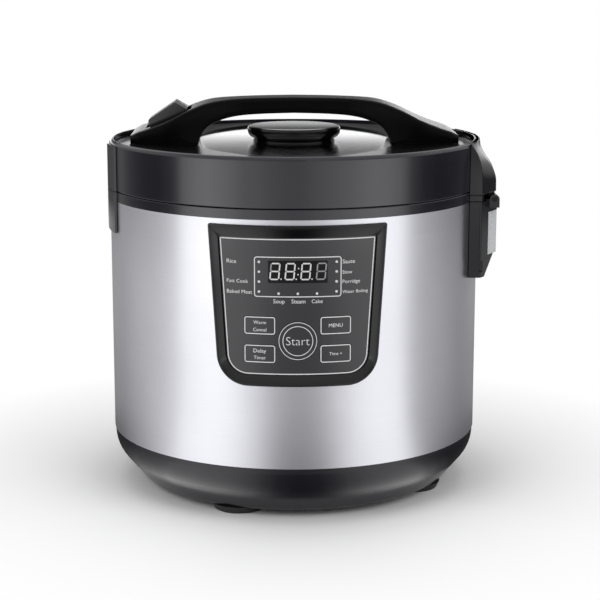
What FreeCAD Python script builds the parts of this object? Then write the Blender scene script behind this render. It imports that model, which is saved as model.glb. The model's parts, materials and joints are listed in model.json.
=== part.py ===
"""Round digital multicooker: steel body on a dark base, clip-down lid hinged at one side."""
import FreeCAD, Part
import math
import os

V = FreeCAD.Vector

# Overall sizes in millimetres. +Z is up, -Y is the side with the control panel,
# the lid hinges at +X and unlatches at -X. The origin is on the body's axis at the counter.
body_dia = 270.0
foot_height = 5.0
base_height = 36.5
shell_height = 172.0
collar_height = 7.0
lid_gap = 0.5
band_height = 34.5
wall = 2.4
shell_wall = 0.8

# Clearances that every fit below uses.
seat_gap = 0.15
curve_gap = 0.3
pin_fit = 0.06

# Base, feet.
base_bottom_dia = 228.0
foot_dia = 40.0
foot_circle_dia = 192.0
foot_angle = 25.0
foot_count = 4

# Pot, liner and heater.
pot_dia = 224.0
pot_wall = 1.5
pot_floor = 2.0
pot_flange = 7.5
pot_base_z = 77.0
liner_clear = 1.5
liner_floor_z = 58.0
plate_dia = 176.0
plate_thick = 9.0
element_dia = 119.0
element_size = 7.0
spacer_circle_dia = 156.0
spacer_angle = 50.0
thermostat_dia = 34.0
thermostat_travel = 3.0

# Control panel: a tapered shield with round lower corners.
panel_top_drop = 3.5
panel_height = 110.3
panel_half_top = 60.7
panel_half_low = 54.0
panel_corner = 21.0
panel_bevel = 7.0
panel_lap = 1.2
panel_depth = 4.6
panel_proud = 1.2
bevel_steps = 5
face_thick = 2.0
window_width = 39.6
window_height = 14.8
window_drop = 31.9
key_width = 20.9
key_height = 12.2
key_spread = 25.7
key_row_high = 68.9
key_row_low = 88.5
start_dia = 26.4
start_drop = 79.3
key_gap = 0.25
key_proud = 0.35
key_travel = 0.8
lamp_dia = 1.8
lamp_spread = 26.1
lamp_drops = (25.4, 32.1, 38.9, 45.7)
low_lamp_spread = 12.9
low_lamp_drop = 46.8

# Hinge block at +X and latch bosses at -X.
hinge_half = 54.0
hinge_flat = 30.0
hinge_reach = 12.0
hinge_height = 54.5
pin_dia = 4.0
knuckle_dia = 7.0
knuckle_half = 35.0
cup_depth = 8.0
cup_height = 31.0
cup_wall = 1.2
latch_half = 46.0
latch_reach = 1.8
latch_drop = 22.5

# Lid top, handle and vent.
rim_width = 3.0
rim_round = 2.6
plate_sheet = 0.8
plate_rise = 1.2
lens_half = 75.0
lens_radius = 150.0
pad_cut = 118.5
pad_rise = 2.2
handle_span = 236.0
handle_rise = 31.7
grip_thick = 11.6
grip_half = 14.0
leg_half = 34.0
vent_dia = 68.0
vent_height = 10.6
vent_lift = 6.0
paddle_half = 15.0
paddle_swing = 7.0

radius = body_dia / 2
z_base = foot_height
z_shell = z_base + base_height
z_collar = z_shell + shell_height
z_seam = z_collar + collar_height
z_lid = z_seam + lid_gap
z_rim = z_lid + band_height
z_plate = z_rim - 4.2
z_dome = z_plate + plate_rise
z_pad = z_dome + pad_rise - 1.2
z_paddle = z_pad + 3.7
z_deck = z_plate - 3.6
z_panel = z_collar - panel_top_drop
z_ledge = z_seam - 3.0
z_flange = z_ledge + 0.3
r_face = radius - panel_depth + panel_proud
r_flange = pot_dia / 2 + pot_flange
r_liner = pot_dia / 2 + liner_clear
x_pin = radius + hinge_reach - knuckle_dia / 2
z_pin = z_collar + 0.5
y_board = -math.sqrt((r_face - face_thick - 1.9) ** 2 - 42.0 ** 2) + seat_gap

parts = {}


def rounded(points, place):
    """Face bounded by a polygon whose corners carry a round; place maps (a, b) to a 3-D point."""
    edges = []
    ends = []
    count = len(points)
    for i in range(count):
        here = V(points[i][0], points[i][1], 0)
        before = V(points[i - 1][0], points[i - 1][1], 0)
        after = V(points[(i + 1) % count][0], points[(i + 1) % count][1], 0)
        r = points[i][2] if len(points[i]) > 2 else 0.0
        if r == 0.0:
            ends.append((here, here, here))
            continue
        u = (before - here).normalize()
        w = (after - here).normalize()
        half = u.getAngle(w) / 2
        back = r / math.tan(half)
        middle = (u + w).normalize()
        centre = here + middle * (r / math.sin(half))
        ends.append((here + u * back, centre - middle * r, here + w * back))
    for i in range(count):
        start, mid, stop = ends[i]
        if start.distanceToPoint(stop) > 1e-6:
            edges.append(Part.Arc(place(start), place(mid), place(stop)).toShape())
        following = ends[(i + 1) % count][0]
        if stop.distanceToPoint(following) > 1e-6:
            edges.append(Part.LineSegment(place(stop), place(following)).toShape())
    return Part.Face(Part.Wire(edges))


def turned(points):
    """Ring or disc turned about the Z axis from a profile of (radius, height, round)."""
    face = rounded(points, lambda p: V(p.x, 0, p.y))
    return face.revolve(V(0, 0, 0), V(0, 0, 1), 360)


def side_cut(points, y0, y1):
    """Prism along Y from an outline of (x, z, round)."""
    face = rounded(points, lambda p: V(p.x, y0, p.y))
    return face.extrude(V(0, y1 - y0, 0))


def plan_cut(points, z0, z1):
    """Prism along Z from an outline of (x, y, round)."""
    face = rounded(points, lambda p: V(p.x, p.y, z0))
    return face.extrude(V(0, 0, z1 - z0))


def box(x0, x1, y0, y1, z0, z1):
    return Part.makeBox(x1 - x0, y1 - y0, z1 - z0, V(x0, y0, z0))


def rod(r, h, at, along=V(0, 0, 1)):
    return Part.makeCylinder(r, h, at, along)


def tube(r_out, r_in, z0, z1):
    return rod(r_out, z1 - z0, V(0, 0, z0)).cut(rod(r_in, z1 - z0, V(0, 0, z0)))


def joined(shapes):
    whole = shapes[0]
    for shape in shapes[1:]:
        whole = whole.fuse(shape)
    return whole.removeSplitter()


def group(shapes):
    return Part.makeCompound(shapes)


def on_circle(r, count, first, z):
    step = 2 * math.pi / count
    start = math.radians(first)
    return [V(r * math.cos(start + k * step), r * math.sin(start + k * step), z) for k in range(count)]


def screw(at, along, head_r, head_h, shank_r, shank_l):
    """Pan-head screw: head outside the joint at 'at', shank running the other way."""
    head = rod(head_r, head_h, at, along)
    shank = rod(shank_r, shank_l, at, along * -1)
    slot = box(-head_r, head_r, -0.35, 0.35, head_h * 0.45, head_h + 1)
    cross = slot.fuse(box(-0.35, 0.35, -head_r, head_r, head_h * 0.45, head_h + 1))
    cross.Placement = FreeCAD.Placement(at, FreeCAD.Rotation(V(0, 0, 1), along))
    return head.cut(cross).fuse(shank)


def coil(r, wire_r, pitch, height, at, along=V(0, 0, 1)):
    """Coil spring with its axis through 'at'."""
    helix = Part.makeHelix(pitch, height, r)
    start = Part.Wire(Part.makeCircle(wire_r, V(r, 0, 0), V(0, 1, pitch / (2 * math.pi * r))))
    spring = Part.Wire(helix).makePipeShell([start], True, True)
    spring.Placement = FreeCAD.Placement(at, FreeCAD.Rotation(V(0, 0, 1), along))
    return spring


def shield(inset, y0=-200.0, y1=-60.0):
    """Panel outline pulled in by 'inset', as a prism along Y."""
    slope = (panel_half_top - panel_half_low) / panel_height
    shift = inset * math.sqrt(1 + slope * slope)
    top = z_panel - inset
    low = z_panel - panel_height + inset
    half_top = panel_half_top - slope * inset - shift
    half_low = panel_half_low + slope * inset - shift
    corner = max(panel_corner - inset, 2.0)
    tip = max(2.4 - inset, 0.6)
    points = [(-half_top, top, tip), (half_top, top, tip), (half_low, low, corner), (-half_low, low,
        corner)]
    return side_cut(points, y0, y1)


def between(shape, r_in, r_out):
    """The part of a shape that lies between two radii of the body."""
    low = z_base - 5
    return shape.common(tube(r_out, r_in, low, z_rim))


def key_outline(x, z, grow):
    half_w = key_width / 2 + grow
    half_h = key_height / 2 + grow
    corner = 1.6 + grow
    points = [(x - half_w, z + half_h, corner), (x + half_w, z + half_h, corner)]
    points += [(x + half_w, z - half_h, corner), (x - half_w, z - half_h, corner)]
    return side_cut(points, -200.0, -60.0)


def key_places():
    high = z_panel - key_row_high
    low = z_panel - key_row_low
    return {
        "key_warm": (-key_spread, high),
        "key_delay": (-key_spread, low),
        "key_menu": (key_spread, high),
        "key_time": (key_spread, low),
    }


def start_prism(grow):
    return rod(start_dia / 2 + grow, 140.0, V(0, -200.0, z_panel - start_drop), V(0, 1, 0))


def window_prism(grow):
    z = z_panel - window_drop
    half_w = window_width / 2 + grow
    half_h = window_height / 2 + grow
    return box(-half_w, half_w, -200.0, -60.0, z - half_h, z + half_h)


def lamp_places():
    places = []
    for drop in lamp_drops:
        places.append((-lamp_spread, z_panel - drop))
        places.append((lamp_spread, z_panel - drop))
    for k in (-1, 0, 1):
        places.append((k * low_lamp_spread, z_panel - low_lamp_drop))
    return places


# ---------------------------------------------------------------- base and feet
def foot_spots(z):
    return on_circle(foot_circle_dia / 2, foot_count, -90.0 - foot_angle, z)


def base_profile(offset):
    """Bowl side from the shell's edge in to the flat underside."""
    r_top = radius - 0.7 - offset
    r_low = base_bottom_dia / 2 - offset
    z_low = z_base + offset
    return [(r_top, z_shell), (r_top, z_shell - base_height * 0.33, 24.0), (r_low, z_low, 6.0)]


def base_pan():
    outer = turned([(0, z_base)] + base_profile(0.0)[::-1] + [(0, z_shell)])
    inner = turned([(0, z_base + wall)] + base_profile(wall)[::-1] + [(0, z_shell)])
    pan = outer.cut(inner)
    tongue = tube(radius - shell_wall - curve_gap, radius - 0.7 - wall, z_shell - 4, z_shell + 6)
    lip = tube(radius - 0.7, radius - 0.7 - wall, z_shell - 4, z_shell)
    pan = joined([pan, lip, tongue])
    for at in foot_spots(z_base):
        pan = pan.fuse(rod(5.0, 9.0, at))
    for at in board_posts(z_base + wall):
        pan = pan.fuse(rod(3.5, board_z() - z_base - wall, at))
    for k in range(7):
        x = (k - 3) * 9.0
        pan = pan.cut(box(x - 1.6, x + 1.6, -26.0, 26.0, z_base - 1, z_base + wall + 1))
    for at in foot_spots(z_base - 1):
        pan = pan.cut(rod(1.6 + pin_fit, 12.0, at))
    for at in on_circle(spacer_circle_dia / 2, 3, spacer_angle, z_base):
        pan = pan.fuse(rod(6.0, liner_floor_z - z_base, at))
    for at in on_circle(spacer_circle_dia / 2, 3, spacer_angle, z_base - 1):
        pan = pan.cut(rod(2.6, liner_floor_z, at))
    return pan.removeSplitter()


def feet():
    pads = []
    for at in foot_spots(0.0):
        r = foot_dia / 2
        pad = turned([(3.4, 0, 0.8), (r - 2.2, 0, 1.2), (r, foot_height), (3.4, foot_height)])
        floor = tube(4.0, 1.6 + pin_fit, foot_height - 2.0, foot_height)
        pad = joined([pad, floor])
        pad.translate(at)
        pads.append(pad)
    return group(pads)


def foot_screws():
    z = foot_height - 2.0
    return group([screw(at, V(0, 0, -1), 3.0, 1.8, 1.6, 10.0) for at in foot_spots(z)])


def board_z():
    return z_base + 15.0


def board_posts(z):
    return [V(x, y, z) for x in (-38.5, 38.5) for y in (38.0, 84.0)]


def power_board():
    z = board_z()
    board = box(-43.0, 43.0, 33.0, 89.0, z, z + 1.6)
    for at in board_posts(z - 1):
        board = board.cut(rod(1.6, 4.0, at))
    return board


def power_parts():
    z = board_z() + 1.6
    transformer = box(-32.0, -4.0, 44.0, 70.0, z, z + 22.0)
    relay = box(0.0, 19.0, 46.0, 62.0, z, z + 15.0)
    varistor = rod(7.0, 4.0, V(30.0, 50.0, z + 7.5), V(0, 1, 0)).fuse(box(28.0, 32.0, 51.0, 53.0, z,
        z + 3))
    cans = [rod(5.0, 13.0, V(x, 76.0, z)) for x in (-2.0, 12.0, 26.0)]
    plug = box(-30.0, -12.0, 76.0, 84.0, z, z + 8.0).cut(box(-28.5, -13.5, 77.5, 82.5, z + 2, z + 9))
    return group([transformer, relay, varistor, plug] + cans)


# ---------------------------------------------------------------- shell, collar, liner
def outer_shell():
    shell = tube(radius, radius - shell_wall, z_shell, z_collar)
    shell = shell.cut(shield(panel_lap))
    shell = shell.cut(inlet_block(seat_gap, -6.0))
    for x in (-20.5, 20.5):
        shell = shell.cut(rod(1.9, 30.0, V(x, radius - 20, inlet_z()), V(0, 1, 0)))
    for at, along in bracket_screw_spots():
        shell = shell.cut(rod(1.6 + pin_fit, 30.0, at + along * 8, along * -1))
    return shell


def top_collar():
    ring = turned([
        (r_flange + 1.5, z_ledge), (r_flange + 1.5, z_seam - 1.0, 0.8), (r_flange + 2.5, z_seam),
        (radius, z_seam, 0.6), (radius, z_collar), (r_liner + 0.6, z_collar), (r_liner + 0.6, z_ledge,
        0.8),
    ])
    tongue = tube(radius - shell_wall - curve_gap, radius - shell_wall - wall, z_collar - 6, z_collar)
    front = box(-panel_half_top - 4, panel_half_top + 4, -radius - 5, -radius / 2, z_collar - 9, z_collar)
    collar = joined([ring, tongue.cut(front)])
    pocket = box(-radius + 2.6, -radius + 11.6, -8.5, 8.5, z_seam - 4.4, z_seam + 1)
    return collar.cut(pocket)


def inner_liner():
    r_out = r_liner + shell_wall
    bucket = turned([
        (46.0, liner_floor_z), (r_out, liner_floor_z, 9.0), (r_out, z_collar - 1.0, 1.0),
        (r_liner + 9.0, z_collar - 1.0), (r_liner + 9.0, z_collar), (r_liner, z_collar),
        (r_liner, liner_floor_z + shell_wall, 8.2), (46.0, liner_floor_z + shell_wall),
    ])
    for at in on_circle(spacer_circle_dia / 2, 3, spacer_angle, liner_floor_z - 1):
        bucket = bucket.cut(rod(2.6, 4.0, at))
    for at in element_ends(liner_floor_z - 1):
        bucket = bucket.cut(rod(3.6, 4.0, at))
    return bucket


def element_ends(z):
    return [V(element_dia / 2 * 0.97, y, z) for y in (-14.8, 14.8)]


def heating_plate():
    r = plate_dia / 2
    z = pot_base_z
    plate = turned([
        (thermostat_dia / 2 + 2.0, z - plate_thick), (r - 4, z - plate_thick, 2.0), (r, z - 3.0, 3.0),
        (r - 2.0, z, 1.0), (thermostat_dia / 2 + 2.0, z, 1.0),
    ])
    for at in on_circle(spacer_circle_dia / 2, 3, spacer_angle, z - plate_thick - 1):
        plate = plate.cut(rod(2.0 + pin_fit, 6.0, at))
    return plate


def heating_element():
    r = element_dia / 2
    s = element_size
    z = pot_base_z - plate_thick
    ring = turned([(r - s / 2, z), (r + s / 2, z), (r + s / 2, z - s, 3.0), (r - s / 2, z - s, 3.0)])
    ring = ring.cut(box(0, 100, -12, 12, z - 20, z + 1))
    ends = [rod(2.4, 14.0, at) for at in element_ends(z - 17.0)]
    return joined([ring] + ends)


def plate_spacers():
    z = liner_floor_z + shell_wall
    spots = on_circle(spacer_circle_dia / 2, 3, spacer_angle, z)
    return group([rod(5.0, pot_base_z - plate_thick - z, at).cut(rod(2.6, 40.0, at)) for at in spots])


def plate_screws():
    spots = on_circle(spacer_circle_dia / 2, 3, spacer_angle, z_base)
    length = pot_base_z - plate_thick - z_base + 4.0
    return group([screw(at, V(0, 0, -1), 3.6, 1.6, 2.0, length) for at in spots])


def thermostat_top():
    return pot_base_z - 0.3


def thermostat_cap():
    r = thermostat_dia / 2
    top = thermostat_top()
    return turned([
        (0, top), (r, top, 1.5), (r, top - 12.0), (r - 1.2, top - 12.0), (r - 1.2, top - 1.2, 0.8), (0,
        top - 1.2),
    ])


def thermostat_guide():
    """Sleeve and cross bar that carry the sprung cap in the middle of the heater."""
    r = thermostat_dia / 2 - 1.2 - curve_gap
    low = liner_floor_z - 3.0
    top = thermostat_top() - thermostat_travel - 2.2
    sleeve = turned([(r - 2.2, low), (r, low), (r, top), (r - 2.2, top)])
    plate = rod(r, 2.0, V(0, 0, low))
    bar = box(-54.0, 54.0, -7.0, 7.0, low, low + 2.0)
    tabs = [box(x - 6, x + 6, -7.0, 7.0, low, liner_floor_z) for x in (-54.0, 54.0)]
    return joined([sleeve, plate, bar] + tabs)


def thermostat_spring():
    low = liner_floor_z - 1.0
    high = thermostat_top() - 1.2
    wire_r = 0.8
    turns = 4
    rise = high - low - 2 * wire_r - 0.3
    return coil(8.5, wire_r, rise / turns, rise, V(0, 0, low + wire_r + 0.15))


def thermal_fuse():
    z = liner_floor_z
    body = rod(3.0, 22.0, V(70.0, -11.0, z - 4.2), V(0, 1, 0))
    bore = rod(3.0 + seat_gap, 30.0, V(70.0, -15.0, z - 4.2), V(0, 1, 0))
    strap = box(64.0, 76.0, -4.0, 4.0, z - 8.4, z).cut(bore)
    return group([body, strap])


def inner_pot():
    r = pot_dia / 2
    z0 = pot_base_z
    z1 = z_flange
    return turned([
        (0, z0), (r, z0, 12.0), (r, z1, 1.0), (r_flange, z1), (r_flange, z1 + 1.2, 0.5),
        (r - pot_wall, z1 + 1.2, 2.0), (r - pot_wall, z0 + pot_floor, 10.5), (0, z0 + pot_floor),
    ])


# ---------------------------------------------------------------- control panel
def panel_frame():
    r_out = radius + panel_proud
    r_back = r_face - face_thick - 1.9
    lip = between(shield(0.0), radius + curve_gap, r_out)
    core = between(shield(panel_lap + curve_gap), r_back, r_out)
    frame = lip.fuse(core)
    bevel_start = panel_lap + curve_gap + 0.7
    for k in range(bevel_steps):
        inset = bevel_start + (panel_bevel - bevel_start) * k / bevel_steps
        r_step = r_out - (r_out - r_face) * (k + 1) / bevel_steps
        frame = frame.cut(between(shield(inset), r_step, r_out + 2))
    frame = frame.cut(between(shield(panel_bevel), r_face - face_thick - curve_gap, r_out + 2))
    frame = frame.cut(between(shield(panel_bevel + 3.0), 90.0, r_out + 2))
    return frame.removeSplitter()


def panel_face():
    face = between(shield(panel_bevel + key_gap), r_face - face_thick, r_face)
    face = face.cut(window_prism(seat_gap)).cut(start_prism(key_gap))
    for x, z in key_places().values():
        face = face.cut(key_outline(x, z, key_gap))
    for x, z in lamp_places():
        face = face.cut(rod(lamp_dia / 2 + seat_gap, 120.0, V(x, -200.0, z), V(0, 1, 0)))
    return face


def display_window():
    return between(window_prism(0.0), r_face - face_thick, r_face)


def key_stem(x, z):
    """Stem behind a key, ending just short of its switch when the key is pressed."""
    y_switch = y_board - 3.8
    y_end = y_switch - key_travel - 0.2
    y_front = -math.sqrt((r_face - 1.0) ** 2 - x * x)
    return rod(2.2, y_end - y_front, V(x, y_front, z), V(0, 1, 0))


def rect_key(name):
    x, z = key_places()[name]
    cap = between(key_outline(x, z, 0.0), r_face - face_thick, r_face + key_proud)
    return cap.fuse(key_stem(x, z))


def start_key():
    cap = between(start_prism(0.0), r_face - face_thick, r_face + key_proud)
    return cap.fuse(key_stem(0.0, z_panel - start_drop))


def control_board():
    return box(-42.0, 42.0, y_board, y_board + 1.6, z_panel - 100.0, z_panel - 12.0)


def display_module():
    z = z_panel - window_drop
    half = window_width / 2 - 0.6
    return box(-half, half, y_board - 7.0, y_board, z - window_height / 2 + 0.4,
        z + window_height / 2 - 0.4)


def indicator_lamps():
    lamps = []
    for x, z in lamp_places():
        y_tip = -math.sqrt((r_face - 0.4) ** 2 - x * x)
        lamps.append(rod(lamp_dia / 2, y_board - y_tip, V(x, y_tip, z), V(0, 1, 0)))
    return group(lamps)


def key_switches():
    spots = list(key_places().values()) + [(0.0, z_panel - start_drop)]
    switches = []
    for x, z in spots:
        body = box(x - 3.0, x + 3.0, y_board - 3.0, y_board, z - 3.0, z + 3.0)
        switches.append(body.fuse(rod(1.7, 0.8, V(x, y_board - 3.8, z), V(0, 1, 0))))
    return group(switches)


# ---------------------------------------------------------------- power inlet at the back
def inlet_z():
    return z_shell + 20.0


def inlet_block(grow, trim):
    z = inlet_z()
    return box(-16.0 - grow, 16.0 + grow, radius - 20.0, radius + 1.6 + trim + 6.0, z - 12.0 - grow,
        z + 12.0 + grow)


def power_inlet():
    z = inlet_z()
    flange = box(-25.0, 25.0, radius - 8.0, radius + 1.6, z - 14.0, z + 14.0)
    flange = flange.cut(rod(radius + curve_gap, 60.0, V(0, 0, z - 30)))
    block = box(-16.0, 16.0, radius - 18.5, radius + 1.6, z - 12.0, z + 12.0)
    points = [
        (-13.5, z + 8.5, 2.0), (13.5, z + 8.5, 2.0), (13.5, z - 5.0), (9.0, z - 9.5), (-9.0, z - 9.5),
        (-13.5, z - 5.0),
    ]
    socket = side_cut(points, radius - 15.5, radius + 3.0)
    inlet = flange.fuse(block).cut(socket)
    for x in (-20.5, 20.5):
        inlet = inlet.cut(rod(1.6 + pin_fit, 20.0, V(x, radius - 12, z), V(0, 1, 0)))
    for x, dz in inlet_pin_spots():
        inlet = inlet.cut(rod(1.6, 10.0, V(x, radius - 20, z + dz), V(0, 1, 0)))
    return inlet


def inlet_pin_spots():
    return ((-7.0, -1.5), (7.0, -1.5), (0.0, 2.5))


def inlet_pins():
    z = inlet_z()
    return group([rod(1.5, 15.0, V(x, radius - 19.5, z + dz), V(0, 1, 0)) for x, dz in inlet_pin_spots()])


def inlet_screws():
    z = inlet_z()
    return group([screw(V(x, radius + 1.6, z), V(0, 1, 0), 2.9, 1.6, 1.5, 10.0) for x in (-20.5, 20.5)])


# ---------------------------------------------------------------- hinge block, dew cup, latch keeper
def hinge_plan(z0, z1, reach, half=hinge_half):
    """Block seen from above: square against the body, corners cut back on the outside."""
    x_face = math.sqrt(max(radius ** 2 - half ** 2, 1.0)) + reach * 0.75
    x_out = radius + reach
    points = [(100.0, -half), (x_face, -half, 1.5), (x_out, -hinge_flat, 6.0)]
    points += [(x_out, hinge_flat, 6.0), (x_face, half, 1.5), (100.0, half)]
    block = plan_cut(points, z0, z1)
    return block.cut(rod(radius + curve_gap, z1 - z0, V(0, 0, z0)))


def bracket_screw_spots():
    spots = []
    for z in (z_collar - 48.0, z_collar - 12.0):
        for a in (-12.0, 12.0):
            out = V(math.cos(math.radians(a)), math.sin(math.radians(a)), 0)
            spots.append((out * (radius - shell_wall - curve_gap) + V(0, 0, z), out * -1))
    return spots


def cup_zone(grow):
    x = radius + hinge_reach - cup_depth
    z_top = z_collar - 8.5
    return box(x - grow, radius + 40, -80.0, 80.0, z_top - cup_height - grow, z_top + grow)


def hinge_bracket():
    z_low = z_collar - hinge_height
    z_top = z_pin - 0.3
    block = hinge_plan(z_low, z_pin, hinge_reach)
    keel = [
        (radius - 40.0, z_low), (radius + 1.0, z_low), (radius + hinge_reach - 2.0, z_low + 17.0, 4.0),
        (radius + hinge_reach + 5.0, z_low + 25.0), (radius + hinge_reach + 5.0, z_pin), (radius - 40.0,
        z_pin),
    ]
    block = block.common(side_cut(keel, -80.0, 80.0))
    block = block.cut(box(radius - 60, radius + 40, -80, 80, z_top, z_pin + 5))
    ear_low = box(x_pin - 6.5, x_pin + knuckle_dia / 2, knuckle_half + 1, hinge_half - 12.0, z_pin - 6,
        z_pin)
    for sign in (-1, 1):
        ear = rod(knuckle_dia / 2, hinge_half - 13.0 - knuckle_half, V(x_pin, knuckle_half + 1, z_pin),
            V(0, 1, 0))
        ear = ear.fuse(ear_low)
        if sign < 0:
            ear = ear.mirror(V(0, 0, 0), V(0, 1, 0))
        block = block.fuse(ear)
    pocket = rod(knuckle_dia / 2 + 0.6, 2 * knuckle_half + 2, V(x_pin, -knuckle_half - 1, z_pin), V(0,
        1, 0))
    swing = box(x_pin, radius + hinge_reach + 2, -knuckle_half - 1, knuckle_half + 1,
        z_pin - knuckle_dia / 2 - 1.2, z_pin + 5)
    block = block.cut(pocket).cut(swing).cut(cup_zone(curve_gap))
    block = block.cut(rod(pin_dia / 2 + pin_fit / 2, 2 * hinge_half, V(x_pin, -hinge_half, z_pin), V(0,
        1, 0)))
    for at, along in bracket_screw_spots():
        block = block.cut(rod(1.5, 5.0, at, along * -1))
    groove = box(x_pin - 12.5, x_pin - 11.9, -hinge_half - 5, -hinge_half + 0.7, z_low + 6, z_pin)
    foot = box(x_pin - 12.0, x_pin - 4.0, -hinge_half - 5, -hinge_half + 3.0, z_low + 4, z_low + 12)
    return block.cut(groove).cut(foot).removeSplitter()


def bracket_screws():
    return group([screw(at, along, 3.0, 1.6, 1.5, 4.6) for at, along in bracket_screw_spots()])


def hinge_pin():
    return rod(pin_dia / 2, 2 * (hinge_half - 12.0), V(x_pin, -hinge_half + 12.0, z_pin), V(0, 1, 0))


def dew_cup():
    """Shallow translucent cup that catches condensate and pulls out of the hinge block."""
    x = radius + hinge_reach - cup_depth
    z_top = z_collar - 8.5
    outer = hinge_plan(z_top - cup_height, z_top, hinge_reach - 0.2).common(cup_zone(0.0))
    hollow = hinge_plan(z_top - cup_height + cup_wall, z_top - 4.0, hinge_reach - 0.2 - cup_wall,
        hinge_half - 7)
    hollow = hollow.common(box(x + cup_wall, radius + 40, -70, 70, 0, z_rim))
    mouth = box(x + cup_wall, radius + hinge_reach - 1.6, -24, 24, z_top - 6, z_top + 1)
    return outer.cut(hollow).cut(mouth)


def latch_pad(z0, z1):
    """Thin pad over the latch that follows the body's round."""
    pad = tube(radius + latch_reach, radius + curve_gap, z0, z1)
    return pad.common(box(-radius - 10, -radius + 30, -latch_half, latch_half, z0, z1))


def latch_keeper():
    low = z_collar - latch_drop
    block = latch_pad(low, z_seam)
    x = -radius - latch_reach
    wedge = [
        (-radius + 40, z_seam), (x - 2.0, z_seam), (x, low + 13.0, 10.0), (-radius - 0.4, low),
        (-radius + 40, low),
    ]
    return block.common(side_cut(wedge, -60, 60))


# ---------------------------------------------------------------- lid
def tray_spots(z):
    return on_circle(radius - 10.5, 4, 45.0, z)


def lid_ring():
    r_in = radius - 3.4
    r_ledge = radius - 17.0
    ring = turned([
        (r_in, z_lid), (radius, z_lid, 0.6), (radius, z_rim, rim_round), (radius - rim_width, z_rim, 0.4),
        (radius - rim_width, z_deck), (r_ledge, z_deck), (r_ledge, z_deck - 2.0), (r_in, z_deck - 2.0),
    ])
    for at in tray_spots(z_deck - 3.0):
        ring = ring.cut(rod(1.6 + pin_fit, 2.8, at))
    return ring


def dome_height(r):
    """Height of the lid plate's top at a distance r from the axis."""
    ball = (radius ** 2 + plate_rise ** 2) / (2 * plate_rise)
    return z_dome - ball + math.sqrt(ball ** 2 - r ** 2)


def dome(r, drop, low=0.0):
    """Solid under the lid's shallow dome, lowered by 'drop' and reaching 'low' below the deck."""
    edge = V(r, 0, dome_height(r) - drop)
    top = V(0, 0, z_dome - drop)
    mid = V(r / 2, 0, dome_height(r / 2) - drop)
    arc = Part.Arc(edge, mid, top).toShape()
    floor = z_deck - low
    lines = [
        Part.LineSegment(top, V(0, 0, floor)).toShape(),
        Part.LineSegment(V(0, 0, floor), V(r, 0, floor)).toShape(),
        Part.LineSegment(V(r, 0, floor), edge).toShape(),
    ]
    return Part.Face(Part.Wire([arc] + lines)).revolve(V(0, 0, 0), V(0, 0, 1), 360)


def vent_hole(r):
    return rod(r, 30.0, V(0, 0, z_plate - 12))


def handle_screw_spots(z):
    return [V(sx * 97.0, sy * 20.0, z) for sx in (-1, 1) for sy in (-1, 1)]


def lid_deck():
    deck = dome(radius - rim_width - 0.3, plate_sheet + 0.1).cut(vent_hole(17.0 + seat_gap))
    for at in handle_screw_spots(z_plate - 10):
        deck = deck.cut(rod(2.0, 30.0, at))
    return deck.cut(paddle_rod_slot())


def lid_plate():
    r = radius - rim_width - 1.6
    sheet = dome(r, 0.0).cut(dome(r + 1, plate_sheet)).cut(vent_hole(17.0 + seat_gap))
    for at in handle_screw_spots(z_plate - 10):
        sheet = sheet.cut(rod(2.0, 30.0, at))
    return sheet.cut(paddle_rod_slot())


def paddle_rod_slot():
    return box(-109.0, -98.0, -6.0, 6.0, z_plate - 12, z_dome + 20)


def lens(grow, z0, z1):
    """Open middle of the lid top, bounded by two wide arcs."""
    shift = lens_radius - lens_half - grow
    left = rod(lens_radius, z1 - z0, V(shift, 0, z0))
    return left.common(rod(lens_radius, z1 - z0, V(-shift, 0, z0)))


def grip_width(x):
    """Half width of the handle across Y at a distance x from the middle."""
    t = min(max((abs(x) - 34.0) / (pad_cut - 57.0), 0.0), 1.0)
    return grip_half + (leg_half - grip_half) * t * t * (3 - 2 * t)


def arch(points):
    """Smooth wire through points of the handle's side view, mirrored to both sides."""
    left = [V(-x, 0, z) for x, z in points[::-1] if x > 0]
    right = [V(x, 0, z) for x, z in points]
    curve = Part.BSplineCurve()
    curve.interpolate(left + right)
    return curve.toShape()


def handle_outline():
    end = handle_span / 2
    top = z_pad + handle_rise - 0.2
    upper = [
        (0, top), (32, top - 0.6), (52, top - 1.9), (64, top - 4.0), (78, top - 9.2), (91, top - 15.6),
        (104, top - 20.8), (end, top - 25.4),
    ]
    under = top - grip_thick
    lower = [(0, under), (24, under - 0.7), (42, under - 2.2), (54, under - 5.0), (64, under - 10.5),
        (71.0, z_pad - 6.0)]
    roof = arch(upper)
    floor = arch(lower)
    z_end = top - 25.4
    low = z_pad - 6.0
    left = Part.LineSegment(V(-end, 0, z_end), V(-end, 0, low)).toShape()
    left_low = Part.LineSegment(V(-end, 0, low), V(-71.0, 0, low)).toShape()
    right_low = Part.LineSegment(V(71.0, 0, low), V(end, 0, low)).toShape()
    right = Part.LineSegment(V(end, 0, low), V(end, 0, z_end)).toShape()
    wire = Part.Wire(Part.__sortEdges__([roof, right, right_low, floor, left_low, left]))
    face = Part.Face(wire)
    face.translate(V(0, -leg_half - 2, 0))
    return face.extrude(V(0, 2 * leg_half + 4, 0))


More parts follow.
